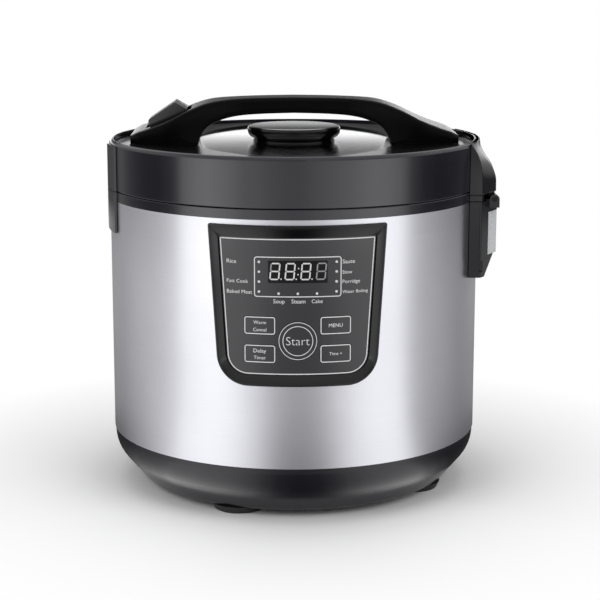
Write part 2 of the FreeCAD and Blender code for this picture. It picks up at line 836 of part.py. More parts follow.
def grip_plan():
    """Handle seen from above: slim grip, flaring to both legs."""
    xs = [-handle_span / 2 - 1 + k * (handle_span + 2) / 24 for k in range(25)]
    front = Part.BSplineCurve()
    front.interpolate([V(x, -grip_width(x), z_pad - 10) for x in xs])
    back = Part.BSplineCurve()
    back.interpolate([V(x, grip_width(x), z_pad - 10) for x in xs[::-1]])
    sides = [
        Part.LineSegment(V(xs[-1], -grip_width(xs[-1]), z_pad - 10), V(xs[-1], grip_width(xs[-1]),
            z_pad - 10)).toShape(),
        Part.LineSegment(V(xs[0], grip_width(xs[0]), z_pad - 10), V(xs[0], -grip_width(xs[0]),
            z_pad - 10)).toShape(),
    ]
    face = Part.Face(Part.Wire([front.toShape(), sides[0], back.toShape(), sides[1]]))
    return face.extrude(V(0, 0, 60))


def pads():
    """Two crescents between the open middle and the rim."""
    disc = rod(radius - rim_width - 3.0, pad_rise + 6, V(0, 0, z_pad - pad_rise - 6))
    strip = box(-pad_cut, pad_cut, -radius, radius, z_pad - 20, z_pad + 20)
    return disc.common(strip).cut(lens(0.0, z_pad - 20, z_pad + 20))


def handle():
    body = handle_outline().common(grip_plan()).cut(box(-200, 200, -90, 90, z_pad - 40, z_pad))
    whole = body.fuse(pads())
    whole = whole.cut(dome(radius, -0.1, 20.0))
    whole = whole.cut(paddle_slot())
    for at in handle_screw_spots(z_plate - 10):
        whole = whole.cut(rod(1.5, 17.5, at))
    hole = rod(1.5 + pin_fit / 2, 60.0, V(paddle_pivot().x, -30, paddle_pivot().z), V(0, 1, 0))
    return whole.cut(hole).removeSplitter()


def handle_screws():
    z = z_deck
    return group([screw(at, V(0, 0, -1), 3.2, 2.0, 1.4, 10.0) for at in handle_screw_spots(z)])


def paddle_pivot():
    return V(-101.0, 0, z_paddle + 4.6)


def paddle_slot():
    """Opening through the left leg for the paddle's root, and the recess its inner end sinks into."""
    y = paddle_half - 3.5
    z = z_paddle
    slot = box(-112.0, -91.0, -y, y, z_pad - 20, z_pad + 40)
    recess = [(-107.9, z + 3.7), (-76.3, z + 13.4), (-74.8, z + 15.2), (-74.8, z + 40), (-107.9, z + 40)]
    return slot.fuse(side_cut(recess, -paddle_half - 0.5, paddle_half + 0.5))


def release_paddle():
    """Inclined thumb paddle above the handle's left slope, with a finger down to the bolt."""
    z = z_paddle
    cap = [
        (-105.8, z + 7.9, 0.8), (-105.8, z + 11.6, 1.2), (-86.2, z + 24.6, 1.6), (-77.4, z + 19.4, 1.2),
        (-78.6, z + 17.4, 0.8), (-104.0, z + 6.1, 0.8),
    ]
    top = side_cut(cap, -paddle_half, paddle_half)
    y = paddle_half - 7.0
    root = [(-105.0, z + 10.4), (-94.0, z + 14.4), (-97.0, z + 2.4, 2.0), (-105.0, z + 1.4, 2.0)]
    stem = side_cut(root, -y, y)
    finger = box(-102.5, -99.5, -4.5, 4.5, bolt_z() - 0.6, z + 4)
    pivot = paddle_pivot()
    bore = rod(1.5 + pin_fit, 60.0, V(pivot.x, -30, pivot.z), V(0, 1, 0))
    return joined([top, stem, finger]).cut(bore).removeSplitter()


def paddle_pin():
    p = paddle_pivot()
    return rod(1.5, 2 * paddle_half + 4.0, V(p.x, -paddle_half - 2.0, p.z), V(0, 1, 0))


def paddle_spring():
    p = paddle_pivot()
    return coil(2.2, 0.4, 1.25, 2.5, V(p.x, paddle_half - 6.4, p.z), V(0, 1, 0))


def bolt_z():
    return z_plate - 10.1


def latch_bolt():
    """Sliding bolt in the lid: a bar across to the rim with a nose down into the collar's pocket."""
    z = bolt_z()
    x = -radius + 8.0
    bar = box(x, -95.0, -7.0, 7.0, z, z + 4.0)
    window = box(-103.0, -99.0, -5.2, 5.2, z - 1, z + 5)
    leg = box(x, x + 3.0, -7.0, 7.0, z_seam - 3.5, z + 4.0)
    nose = [(x, z_seam - 3.5), (x - 2.0, z_seam - 3.5), (x - 0.6, z_seam - 0.5), (x, z_seam + 1.0)]
    return joined([bar, leg, side_cut(nose[::-1], -7, 7)]).cut(window)


def bolt_guide():
    """Two rails under the deck that carry the bolt."""
    z = bolt_z()
    rails = []
    for sign in (-1, 1):
        rail = box(-117.0, -94.0, 7.3, 12.0, z - 3.0, z_deck)
        rail = rail.fuse(box(-117.0, -94.0, 5.6, 12.0, z - 3.0, z - 0.3))
        if sign < 0:
            rail = rail.mirror(V(0, 0, 0), V(0, 1, 0))
        rails.append(rail)
    return group(rails)


def lid_hinge_cover():
    """Lid half of the hinge block, rounded over at the top, with the knuckle round the pin."""
    x_out = radius + hinge_reach
    block = hinge_plan(z_pin + 0.3, z_rim + 2, hinge_reach)
    side = [
        (radius - 60, z_pin + 0.3), (x_pin - knuckle_dia / 2 - 0.6, z_pin + 0.3),
        (x_pin - knuckle_dia / 2 - 0.6, z_pin + 4.2),
        (x_out, z_pin + 4.2), (x_out, z_rim - 32.0, 6.0), (x_out - 5.5, z_rim - 18.0, 14.0),
        (radius - 2.0, z_rim - 8.0, 3.0), (radius - 60, z_rim - 8.0),
    ]
    block = block.common(side_cut(side, -80, 80))
    knuckle = rod(knuckle_dia / 2, 2 * knuckle_half, V(x_pin, -knuckle_half, z_pin), V(0, 1, 0))
    web = box(x_pin - knuckle_dia / 2, x_pin + knuckle_dia / 2, -knuckle_half, knuckle_half, z_pin,
        z_pin + 6)
    block = joined([block, knuckle, web])
    bore = rod(pin_dia / 2 + pin_fit, 2 * hinge_half, V(x_pin, -hinge_half, z_pin), V(0, 1, 0))
    groove = box(x_pin - 12.5, x_pin - 11.9, -hinge_half - 5, -hinge_half + 0.7, z_pin, z_rim - 12)
    return block.cut(bore).cut(groove).removeSplitter()


def lid_latch_boss():
    block = latch_pad(z_lid, z_rim)
    x = -radius - latch_reach
    wedge = [(-radius + 40, z_lid), (x, z_lid), (x, z_rim - 3.6, 2.0), (-radius + 1, z_rim - 2.4),
        (-radius + 40, z_rim - 2.4)]
    return block.common(side_cut(wedge, -60, 60))


def lid_inner():
    """Moulded underside of the lid, screwed up to the ring's ledge."""
    r = radius - 3.4 - curve_gap
    tray = turned([
        (16.0, z_lid + 4.0), (r_flange - 14, z_lid + 4.0, 1.0), (r_flange - 1, z_lid + 1.0, 1.0), (r,
        z_lid + 1.0),
        (r, z_lid + 3.4), (r_flange - 0.4, z_lid + 3.4, 1.0), (r_flange - 13.4, z_lid + 6.4, 1.0),
        (16.0, z_lid + 6.4),
    ])
    for at in tray_spots(z_lid + 2.6):
        tray = tray.fuse(rod(4.4, z_deck - 2.0 - z_lid - 2.6, at))
    for at in tray_spots(z_lid):
        tray = tray.cut(rod(1.8, 60.0, at)).cut(rod(3.7, 2.6, at))
    slot = box(-radius + 4.0, -radius + 16.0, -8.5, 8.5, z_lid - 2, z_lid + 12)
    sensor = rod(4.3, 20.0, V(0, 62.0, z_lid - 2))
    return tray.cut(slot).cut(sensor).removeSplitter()


def lid_screws():
    length = z_deck - 0.4 - z_lid - 2.6
    return group([screw(at, V(0, 0, -1), 3.4, 1.4, 1.6, length) for at in tray_spots(z_lid + 2.6)])


def inner_lid_plate():
    z = z_flange + 2.6
    r = pot_dia / 2
    plate = turned([
        (16.0, z + 0.2), (r - 26, z + 0.2, 1.5), (r - 20, z + 1.0, 1.5), (r - 1.0, z + 1.0), (r - 1.0,
        z + 1.8),
        (r - 20.4, z + 1.8, 1.5), (r - 26.4, z + 1.0, 1.5), (16.0, z + 1.0),
    ])
    for at in on_circle(40.0, 12, 0.0, z - 2):
        plate = plate.cut(rod(1.8, 8.0, at))
    return plate.cut(rod(4.3, 20.0, V(0, 62.0, z - 5)))


def lid_gasket():
    z = z_flange + 1.2 + curve_gap
    r = pot_dia / 2
    return turned([
        (r - 3.0, z + 4.0), (r - 3.0, z + 2.9), (r - 0.6, z + 2.9), (r - 0.6, z + 2.0), (r - 3.0, z + 2.0),
        (r - 3.0, z + 1.2), (r + 1.5, z, 0.4), (r + 5.5, z, 0.6), (r + 4.0, z + 1.4, 0.5), (r + 0.6,
        z + 2.0),
        (r + 0.6, z + 4.0),
    ])


def vent_tube():
    """Soft duct from the inner lid plate up to the steam vent."""
    z = z_flange + 2.6
    return turned([
        (10.0, z - 0.6, 0.5), (18.0, z - 0.6, 0.5), (18.0, z + 0.2), (15.8, z + 0.2), (15.8,
        z_plate - 6.0),
        (13.8, z_plate - 4.0), (13.8, z_dome - 1.0), (11.0, z_dome - 1.0), (11.0, z + 8.0), (10.0,
        z + 6.0),
    ])


def lid_sensor():
    at = V(0, 62.0, z_flange + 2.2)
    cap = rod(4.0, 9.0, at)
    return cap.fuse(rod(5.4, 1.6, V(0, 62.0, z_lid + 6.4)))


def vent_base():
    """Collar of the steam vent on the lid plate."""
    r = vent_dia / 2
    z = z_dome
    ring = turned([
        (14.1, z - 3.0), (16.8, z - 3.0), (16.8, z + 0.1), (r - 4.0, z - 0.1), (r - 4.0, z + 1.0),
        (r - 5.0, z + 2.0, 0.6),
        (22.0, z + 2.0), (22.0, z + 4.0), (19.0, z + 4.0), (14.1, z + 1.6),
    ])
    return ring.cut(dome(16.9 + 30, -0.2).cut(rod(17.0, 60.0, V(0, 0, z_plate - 20))))


def vent_cap():
    """Lift-off cap of the steam vent, open underneath, with slots round its side."""
    r = vent_dia / 2
    z = z_dome
    top = z + vent_height
    cap = turned([
        (22.6, z + 2.3), (r - 4.2, z + 2.3, 0.6), (r - 2.8, z + 4.4, 1.0), (r, z + 7.2, 1.6), (r,
        top - 0.9, 0.8),
        (r - 1.6, top, 0.3), (r - 2.0, top), (r - 2.0, top - 0.6), (0, top - 0.6), (0, top - 2.4),
        (r - 3.6, top - 2.4, 1.0), (r - 3.6, z + 7.0), (r - 6.0, z + 4.2, 0.6), (22.6, z + 4.2),
    ])
    for k in range(12):
        slot = box(r - 9.5, r - 5.5, -2.4, 2.4, z + 1.5, z + 5.0)
        slot.rotate(V(0, 0, 0), V(0, 0, 1), k * 30.0)
        cap = cap.cut(slot)
    return cap


def vent_disc():
    r = vent_dia / 2
    top = z_dome + vent_height
    return turned([(0, top - 0.6), (r - 2.3, top - 0.6), (r - 2.3, top + 0.4, 0.7), (0, top + 0.4)])


for make in (
    base_pan, feet, foot_screws, power_board, power_parts, outer_shell, top_collar, inner_liner,
    heating_plate, heating_element, plate_spacers, plate_screws, thermostat_cap, thermostat_guide,
    thermostat_spring, thermal_fuse, inner_pot, panel_frame, panel_face, display_window,
    control_board, display_module, indicator_lamps, key_switches, power_inlet, inlet_pins,
    inlet_screws, hinge_bracket, bracket_screws, hinge_pin, dew_cup, latch_keeper, lid_ring,
    lid_deck, lid_plate, handle, handle_screws, release_paddle, paddle_pin, paddle_spring,
    latch_bolt, bolt_guide, lid_hinge_cover, lid_latch_boss, lid_inner, lid_screws,
    inner_lid_plate, lid_gasket, vent_tube, lid_sensor, vent_base, vent_cap, vent_disc,
):
    parts[make.__name__] = make()
for key in key_places():
    parts[key] = rect_key(key)
parts["key_start"] = start_key()

os.makedirs("parts", exist_ok=True)
for node, shape in parts.items():
    shape.exportStep("parts/" + node + ".step")
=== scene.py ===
import json
import math

import bmesh
import bpy
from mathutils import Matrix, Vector


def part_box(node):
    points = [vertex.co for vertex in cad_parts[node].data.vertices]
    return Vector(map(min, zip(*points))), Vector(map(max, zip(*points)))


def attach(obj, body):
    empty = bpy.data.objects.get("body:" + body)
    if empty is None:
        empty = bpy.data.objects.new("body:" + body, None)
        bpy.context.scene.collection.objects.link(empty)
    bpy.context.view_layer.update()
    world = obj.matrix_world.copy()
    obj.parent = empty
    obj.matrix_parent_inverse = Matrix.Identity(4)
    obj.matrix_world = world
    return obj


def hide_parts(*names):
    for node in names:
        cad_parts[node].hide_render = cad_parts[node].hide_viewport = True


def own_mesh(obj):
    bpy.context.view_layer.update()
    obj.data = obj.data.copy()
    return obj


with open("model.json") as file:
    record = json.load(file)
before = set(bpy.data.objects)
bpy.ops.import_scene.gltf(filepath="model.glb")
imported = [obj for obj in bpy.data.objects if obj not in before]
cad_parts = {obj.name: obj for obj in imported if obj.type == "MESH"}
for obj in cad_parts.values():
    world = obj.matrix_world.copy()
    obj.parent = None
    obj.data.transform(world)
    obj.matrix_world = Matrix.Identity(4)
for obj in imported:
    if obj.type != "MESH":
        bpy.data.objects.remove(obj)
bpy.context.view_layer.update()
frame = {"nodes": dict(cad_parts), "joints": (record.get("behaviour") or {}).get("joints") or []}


# ---------------------------------------------------------------- rubber feet
# Four thick round feet of black thermoplastic rubber, each held up into the base by one
# screw. They are moulded and dull.
def linear(code):
    """Linear colour of an sRGB hex value."""
    parts = [int(code[i:i + 2], 16) / 255 for i in (0, 2, 4)]
    return [p / 12.92 if p <= 0.04045 else ((p + 0.055) / 1.055) ** 2.4 for p in parts] + [1.0]


def add(tree, kind, settings=None, links=None):
    """Adds a node, gives it its settings by name or place, and links its inputs."""
    made = tree.nodes.new(kind)
    for key, value in (settings or {}).items():
        if isinstance(key, int) or key in made.inputs:
            made.inputs[key].default_value = value
        else:
            setattr(made, key, value)
    for key, (source, output) in (links or {}).items():
        tree.links.new(source.outputs[output], made.inputs[key])
    return made


def moulded(name, dark, light, roughness, grain_mm, relief_mm, drift_mm=40.0, **finish):
    """Moulded plastic or rubber: slow drift between two close colours where the melt flowed,
    and a fine tool texture in the surface that breaks up its shine."""
    material = bpy.data.materials.new(name)
    material.use_nodes = True
    tree = material.node_tree
    tree.nodes.clear()
    place = add(tree, "ShaderNodeTexCoord")
    flow = add(tree, "ShaderNodeTexNoise", {"Scale": 1000 / drift_mm, "Detail": 4.0, "Roughness": 0.6},
        {"Vector": (place, "Object")})
    tint = add(tree, "ShaderNodeMix", {"data_type": "RGBA", 6: linear(dark), 7: linear(light)},
        {0: (flow, "Fac")})
    grain = add(tree, "ShaderNodeTexNoise", {"Scale": 1000 / grain_mm, "Detail": 2.0},
        {"Vector": (place, "Object")})
    shine = add(tree, "ShaderNodeMapRange", {1: 0.3, 2: 0.7, 3: roughness * 0.85, 4: roughness * 1.15},
        {0: (grain, "Fac")})
    relief = add(tree, "ShaderNodeBump", {"Strength": 0.6, "Distance": relief_mm / 1000},
        {"Height": (grain, "Fac")})
    settings = {"IOR": 1.5}
    settings.update(finish)
    body = add(tree, "ShaderNodeBsdfPrincipled", settings, {"Base Color": (tint, 2),
        "Roughness": (shine, 0), "Normal": (relief, 0)})
    add(tree, "ShaderNodeOutputMaterial", None, {"Surface": (body, 0)})
    return material


def dress(material, *names):
    """Gives CAD nodes their finish."""
    for name in names:
        mesh = frame["nodes"][name].data
        mesh.materials.clear()
        mesh.materials.append(material)


rubber = moulded("thermoplastic_rubber", "141414", "222222", 0.62, 0.8, 0.03)
dress(rubber, "feet")

# ---------------------------------------------------------------- base pan
# Deep bowl of black polypropylene under the steel wall, injection moulded with a glossy
# side. The mains inlet, the boards and the heating plate stand in it.
polypropylene = moulded("glossy_polypropylene", "121117", "19181f", 0.2, 1.2, 0.004, IOR=1.49)
dress(polypropylene, "base_pan")


# ---------------------------------------------------------------- screws and small steel parts
# Zinc-plated machine screws and rivets hold the feet, plate, bracket and inlet.
def metal(name, dark, light, roughness, stretch, drift_mm=60.0, relief_mm=0.004, **finish):
    """Metal with its grinding, rolling or casting lines: 'stretch' is how many lines to the metre
    there are along each axis, so a small number is the way that they run."""
    material = bpy.data.materials.new(name)
    material.use_nodes = True
    tree = material.node_tree
    tree.nodes.clear()
    place = add(tree, "ShaderNodeTexCoord")
    turn = add(tree, "ShaderNodeMapping", {"Scale": stretch}, {"Vector": (place, "Object")})
    lines = add(tree, "ShaderNodeTexNoise", {"Scale": 1.0, "Detail": 3.0, "Roughness": 0.7},
        {"Vector": (turn, 0)})
    cloud = add(tree, "ShaderNodeTexNoise", {"Scale": 1000 / drift_mm, "Detail": 3.0},
        {"Vector": (place, "Object")})
    both = add(tree, "ShaderNodeMath", {"operation": "MULTIPLY_ADD", 1: 0.6}, {0: (lines, "Fac"),
        2: (cloud, "Fac")})
    tint = add(tree, "ShaderNodeMapRange", {1: 0.55, 2: 1.05, 3: 0.0, 4: 1.0}, {0: (both, 0)})
    colour = add(tree, "ShaderNodeMix", {"data_type": "RGBA", 6: linear(dark), 7: linear(light)},
        {0: (tint, 0)})
    shine = add(tree, "ShaderNodeMapRange", {1: 0.3, 2: 0.7, 3: roughness * 0.88, 4: roughness * 1.12},
        {0: (lines, "Fac")})
    relief = add(tree, "ShaderNodeBump", {"Strength": 0.5, "Distance": relief_mm / 1000},
        {"Height": (lines, "Fac")})
    settings = {"Metallic": 1.0}
    settings.update(finish)
    body = add(tree, "ShaderNodeBsdfPrincipled", settings, {"Base Color": (colour, 2),
        "Roughness": (shine, 0), "Normal": (relief, 0)})
    add(tree, "ShaderNodeOutputMaterial", None, {"Surface": (body, 0)})
    return material


zinc = metal("zinc_plated_steel", "9c9a94", "bdbab2", 0.32, (700, 700, 700), 4.0)
dress(zinc, "bracket_screws", "paddle_pin")
pin_steel = metal("black_oxide_steel", "1c1c1e", "2a2a2d", 0.34, (900, 60, 900), 8.0)
dress(pin_steel, "hinge_pin")


def islands(node):
    """Low and high corners of each loose piece of a CAD node."""
    bm = bmesh.new()
    bm.from_mesh(frame["nodes"][node].data)
    bmesh.ops.remove_doubles(bm, verts=bm.verts, dist=1e-6)
    boxes, left = [], set(bm.verts)
    while left:
        group, queue = set(), [left.pop()]
        while queue:
            vert = queue.pop()
            group.add(vert)
            near = [e.other_vert(vert) for e in vert.link_edges]
            queue += [v for v in near if v in left]
            left -= set(near)
        boxes.append([Vector([pick(v.co[i] for v in group) for i in range(3)]) for pick in (min, max)])
    bm.free()
    return boxes


def group_tree(name, *inputs):
    """Empty geometry tree with a mesh in, a mesh out and its own named inputs."""
    tree = bpy.data.node_groups.new(name, "GeometryNodeTree")
    tree.interface.new_socket("Geometry", in_out="OUTPUT", socket_type="NodeSocketGeometry")
    tree.interface.new_socket("Geometry", in_out="INPUT", socket_type="NodeSocketGeometry")
    for label, kind in inputs:
        tree.interface.new_socket(label, in_out="INPUT", socket_type="NodeSocket" + kind)
    return tree, add(tree, "NodeGroupInput"), add(tree, "NodeGroupOutput")


def grown(name, start, tree, values, body, slot, *stands_for, crease=35.0):
    """Runs a geometry tree on a start mesh and keeps the result as a plain finished piece."""
    seed = bpy.data.objects.new(name + "_seed", start)
    bpy.context.scene.collection.objects.link(seed)
    run = seed.modifiers.new("grow", "NODES")
    run.node_group = tree
    for item in tree.interface.items_tree:
        if item.in_out == "INPUT" and item.name in values:
            run[item.identifier] = values[item.name]
    bpy.context.view_layer.update()
    mesh = bpy.data.meshes.new_from_object(seed.evaluated_get(bpy.context.evaluated_depsgraph_get()))
    mesh.name = name
    bpy.data.objects.remove(seed)
    bm = bmesh.new()
    bm.from_mesh(mesh)
    bmesh.ops.remove_doubles(bm, verts=bm.verts, dist=1e-6)
    bmesh.ops.recalc_face_normals(bm, faces=bm.faces)
    bm.to_mesh(mesh)
    bm.free()
    mesh.shade_smooth()
    mesh.set_sharp_from_angle(angle=math.radians(crease))
    made = bpy.data.objects.new(name, mesh)
    bpy.context.scene.collection.objects.link(made)
    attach(made, body)
    if stands_for:
        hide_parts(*stands_for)
    return made


# a pan-head screw with a cross recess at every point of the start mesh, pointing along 'out'
screw_tree, way_in, way_out = group_tree("screws", ("Head radius", "Float"), ("Head height", "Float"),
    ("Shank radius", "Float"), ("Shank length", "Float"), ("Material", "Material"))
head = add(screw_tree, "GeometryNodeMeshCylinder", {"Vertices": 40, "Side Segments": 6},
    {"Radius": (way_in, "Head radius"), "Depth": (way_in, "Head height")})
spot = add(screw_tree, "GeometryNodeInputPosition")
parts = add(screw_tree, "ShaderNodeSeparateXYZ", None, {0: (spot, 0)})
share = add(screw_tree, "ShaderNodeMath", {"operation": "DIVIDE"}, {0: (parts, 2),
    1: (way_in, "Head height")})
crown = add(screw_tree, "ShaderNodeMapRange", {1: -0.5, 2: 0.5, 3: 0.0, 4: 1.0}, {0: (share, 0)})
curve = add(screw_tree, "ShaderNodeMath", {"operation": "POWER", 1: 4.0}, {0: (crown, 0)})
pull = add(screw_tree, "ShaderNodeMath", {"operation": "MULTIPLY", 1: -0.3}, {0: (curve, 0)})
inward = add(screw_tree, "ShaderNodeVectorMath", {"operation": "SCALE"}, {0: (spot, 0), "Scale": (pull, 0)})
level = add(screw_tree, "ShaderNodeVectorMath", {"operation": "MULTIPLY", 1: (1, 1, 0)}, {0: (inward, 0)})
domed = add(screw_tree, "GeometryNodeSetPosition", None, {"Geometry": (head, "Mesh"),
    "Offset": (level, 0)})
slot_long = add(screw_tree, "ShaderNodeMath", {"operation": "MULTIPLY", 1: 1.15}, {0: (way_in,
    "Head radius")})
slot_wide = add(screw_tree, "ShaderNodeMath", {"operation": "MULTIPLY", 1: 0.24}, {0: (way_in,
    "Head radius")})
slot_size = add(screw_tree, "ShaderNodeCombineXYZ", None, {0: (slot_long, 0), 1: (slot_wide, 0),
    2: (way_in, "Head height")})
bar_cut = add(screw_tree, "GeometryNodeMeshCube", None, {"Size": (slot_size, 0)})
cross_cut = add(screw_tree, "GeometryNodeTransform", {"Rotation": (0, 0, math.pi / 2)},
    {"Geometry": (bar_cut, "Mesh")})
both_cuts = add(screw_tree, "GeometryNodeJoinGeometry")
screw_tree.links.new(bar_cut.outputs["Mesh"], both_cuts.inputs[0])
screw_tree.links.new(cross_cut.outputs[0], both_cuts.inputs[0])
lift = add(screw_tree, "ShaderNodeMath", {"operation": "MULTIPLY", 1: 0.55}, {0: (way_in, "Head height")})
lift_by = add(screw_tree, "ShaderNodeCombineXYZ", None, {2: (lift, 0)})
raised = add(screw_tree, "GeometryNodeTransform", None, {"Geometry": (both_cuts, 0),
    "Translation": (lift_by, 0)})
driven = add(screw_tree, "GeometryNodeMeshBoolean", {"operation": "DIFFERENCE"}, {0: (domed, 0),
    1: (raised, 0)})
half_head = add(screw_tree, "ShaderNodeMath", {"operation": "MULTIPLY", 1: 0.5}, {0: (way_in,
    "Head height")})
seat_by = add(screw_tree, "ShaderNodeCombineXYZ", None, {2: (half_head, 0)})
seated = add(screw_tree, "GeometryNodeTransform", None, {"Geometry": (driven, 0),
    "Translation": (seat_by, 0)})
shank = add(screw_tree, "GeometryNodeMeshCylinder", {"Vertices": 24}, {"Radius": (way_in, "Shank radius"),
    "Depth": (way_in, "Shank length")})
drop = add(screw_tree, "ShaderNodeMath", {"operation": "MULTIPLY", 1: -0.5}, {0: (way_in, "Shank length")})
drop_by = add(screw_tree, "ShaderNodeCombineXYZ", None, {2: (drop, 0)})
hung = add(screw_tree, "GeometryNodeTransform", None, {"Geometry": (shank, "Mesh"),
    "Translation": (drop_by, 0)})
whole = add(screw_tree, "GeometryNodeJoinGeometry")
screw_tree.links.new(seated.outputs[0], whole.inputs[0])
screw_tree.links.new(hung.outputs[0], whole.inputs[0])
out_way = add(screw_tree, "GeometryNodeInputNamedAttribute", {"data_type": "FLOAT_VECTOR", "Name": "out"})
aim = add(screw_tree, "FunctionNodeAlignRotationToVector", {"axis": "Z"}, {"Vector": (out_way, 0)})
placed = add(screw_tree, "GeometryNodeInstanceOnPoints", None, {"Points": (way_in, "Geometry"),
    "Instance": (whole, 0), "Rotation": (aim, 0)})
real = add(screw_tree, "GeometryNodeRealizeInstances", None, {0: (placed, 0)})
coated = add(screw_tree, "GeometryNodeSetMaterial", None, {"Geometry": (real, 0),
    "Material": (way_in, "Material")})
screw_tree.links.new(coated.outputs[0], way_out.inputs[0])


def screws(node, out, body):
    """A set of screws that stands for a CAD node whose screws all point along 'out'."""
    out = Vector(out)
    spots, head_h = [], 0.0017
    for low, high in islands(node):
        middle, half = (low + high) / 2, (high - low) / 2
        reach = abs(half.dot(out))
        spots.append(middle + out * (reach - head_h))
        sides = [half[i] for i in range(3) if abs(out[i]) < 0.5]
    start = bpy.data.meshes.new(node)
    start.from_pydata(spots, [], [])
    aims = start.attributes.new("out", "FLOAT_VECTOR", "POINT")
    for k in range(len(spots)):
        aims.data[k].vector = out
    grown(node + "_set", start, screw_tree, {"Head radius": max(sides), "Head height": head_h,
        "Shank radius": max(sides) * 0.5, "Shank length": 2 * reach - head_h, "Material": zinc}, body,
        "zinc_steel", node, crease=40)


screws("foot_screws", (0, 0, -1), "base")
screws("plate_screws", (0, 0, -1), "base")
screws("inlet_screws", (0, 1, 0), "base")
screws("handle_screws", (0, 0, -1), "lid")
screws("lid_screws", (0, 0, -1), "lid")

spring_wire = metal("spring_steel_wire", "77777a", "98989c", 0.3, (900, 900, 300), 5.0)
dress(spring_wire, "paddle_spring")

# ---------------------------------------------------------------- power board
# Green glass-epoxy board on posts in the base, with a relay, a fuse and a capacitor.
epoxy_board = moulded("glass_epoxy_board", "0f3d1e", "17502a", 0.35, 0.6, 0.02, 8.0, IOR=1.55)
dress(epoxy_board, "power_board", "control_board")
case_plastic = moulded("filled_nylon", "24262b", "33363d", 0.45, 0.5, 0.02, 12.0)
dress(case_plastic, "power_parts", "key_switches")

# ---------------------------------------------------------------- steel wall
# Drawn wall of satin stainless steel. Its fine grinding lines run round the body, so it
# mirrors the studio as broad upright bands.
wall_steel = metal("satin_stainless_steel", "c3c3c9", "cfcfd5", 0.34, (14, 14, 2600), 90.0, 0.002,
    Anisotropic=0.85)
tree = wall_steel.node_tree
upright = add(tree, "ShaderNodeCombineXYZ", {"Z": 1.0})
shader = [n for n in tree.nodes if n.type == "BSDF_PRINCIPLED"][0]
tree.links.new(upright.outputs[0], shader.inputs["Tangent"])
dress(wall_steel, "outer_shell")

# ---------------------------------------------------------------- collar
# Ring of glossy black ABS on top of the steel wall. The lid shuts on it.
collar_abs = moulded("glossy_abs", "131218", "1a1921", 0.13, 1.5, 0.003, IOR=1.53)
dress(collar_abs, "top_collar", "latch_keeper")

# ---------------------------------------------------------------- heater and thermostat
# Bare steel liner with a cast aluminium heating plate. The element is cast in below it,
# and a sprung thermostat comes up through its middle.
liner_steel = metal("drawn_steel_liner", "9a9b9e", "b4b5b8", 0.3, (30, 30, 900), 50.0)
dress(liner_steel, "inner_liner")
cast_plate = metal("cast_aluminium", "a9aaad", "c6c7ca", 0.42, (260, 260, 260), 20.0, 0.02)
dress(cast_plate, "heating_plate", "plate_spacers", "thermostat_cap")
element_steel = metal("element_tube_steel", "5a5856", "787470", 0.4, (500, 500, 500), 10.0)
dress(element_steel, "heating_element", "thermostat_guide")
ceramic = moulded("fuse_ceramic", "c4bdb2", "d6cfc4", 0.6, 0.4, 0.02, 6.0, IOR=1.6)
dress(ceramic, "thermal_fuse")


def piece(name, bm, material, body, slot, *stands_for, crease=35.0):
    """Turns a bmesh into a finished piece that rides on its body."""
    mesh = bpy.data.meshes.new(name)
    bm.to_mesh(mesh)
    bm.free()
    mesh.materials.append(material)
    mesh.shade_smooth()
    mesh.set_sharp_from_angle(angle=math.radians(crease))
    made = bpy.data.objects.new(name, mesh)
    bpy.context.scene.collection.objects.link(made)
    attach(made, body)
    if stands_for:
        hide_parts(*stands_for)
    return made


# the thermostat spring's coil as one welded piece of spring wire on the base
foot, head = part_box("thermostat_spring")
coil_bm = bmesh.new()
coil_bm.from_mesh(frame["nodes"]["thermostat_spring"].data)
bmesh.ops.remove_doubles(coil_bm, verts=coil_bm.verts, dist=1e-6)
coil = piece("thermostat_coil", coil_bm, spring_wire, "base", "spring_steel", "thermostat_spring")
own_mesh(coil)

# ---------------------------------------------------------------- inner pot
# Pressed aluminium pot with a dark speckled non-stick coating.
coating = moulded("non_stick_coating", "2a2a2c", "3d3d40", 0.36, 0.9, 0.008, 3.0, IOR=1.42)
dress(coating, "inner_pot")

# ---------------------------------------------------------------- control panel
# Shield-shaped trim of glossy black ABS round a dark polycarbonate film that follows the
# round body. The film carries the display window, eleven lamps and five keys.
def outline(corners, arc=10, edge=1):
    """Points round a polygon whose corners are (x, z, radius)."""
    arcs = []
    for k, (x, z, r) in enumerate(corners):
        at = Vector((x, z))
        back = (Vector(corners[k - 1][:2]) - at).normalized()
        on = (Vector(corners[(k + 1) % len(corners)][:2]) - at).normalized()
        half = math.acos(max(-1.0, min(1.0, back.dot(on)))) / 2
        if r < 1e-6 or math.pi - 2 * half < 1e-3:
            arcs.append([at])
            continue
        centre = at + (back + on).normalized() * (r / math.sin(half))
        first = at + back * (r / math.tan(half)) - centre
        last = at + on * (r / math.tan(half)) - centre
        turn = math.pi - 2 * half
        arcs.append([centre + (first * math.sin((1 - i / arc) * turn) + last * math.sin(i / arc * turn))
            / math.sin(turn) for i in range(arc + 1)])
    points = []
    for k, run in enumerate(arcs):
        points += run
        after = arcs[(k + 1) % len(arcs)][0]
        points += [run[-1].lerp(after, i / edge) for i in range(1, edge)]
    return points


def loft(rings, ends=True):
    """Closed rings of points skinned one to the next, with both ends filled."""
    bm = bmesh.new()
    rows = [[bm.verts.new(p) for p in ring] for ring in rings]
    for low, high in zip(rows, rows[1:]):
        for k in range(len(low)):
            j = (k + 1) % len(low)
            bm.faces.new((low[k], low[j], high[j], high[k]))
    if ends:
        bm.faces.new(rows[0][::-1])
        bm.faces.new(rows[-1])
    bmesh.ops.recalc_face_normals(bm, faces=bm.faces)
    return bm


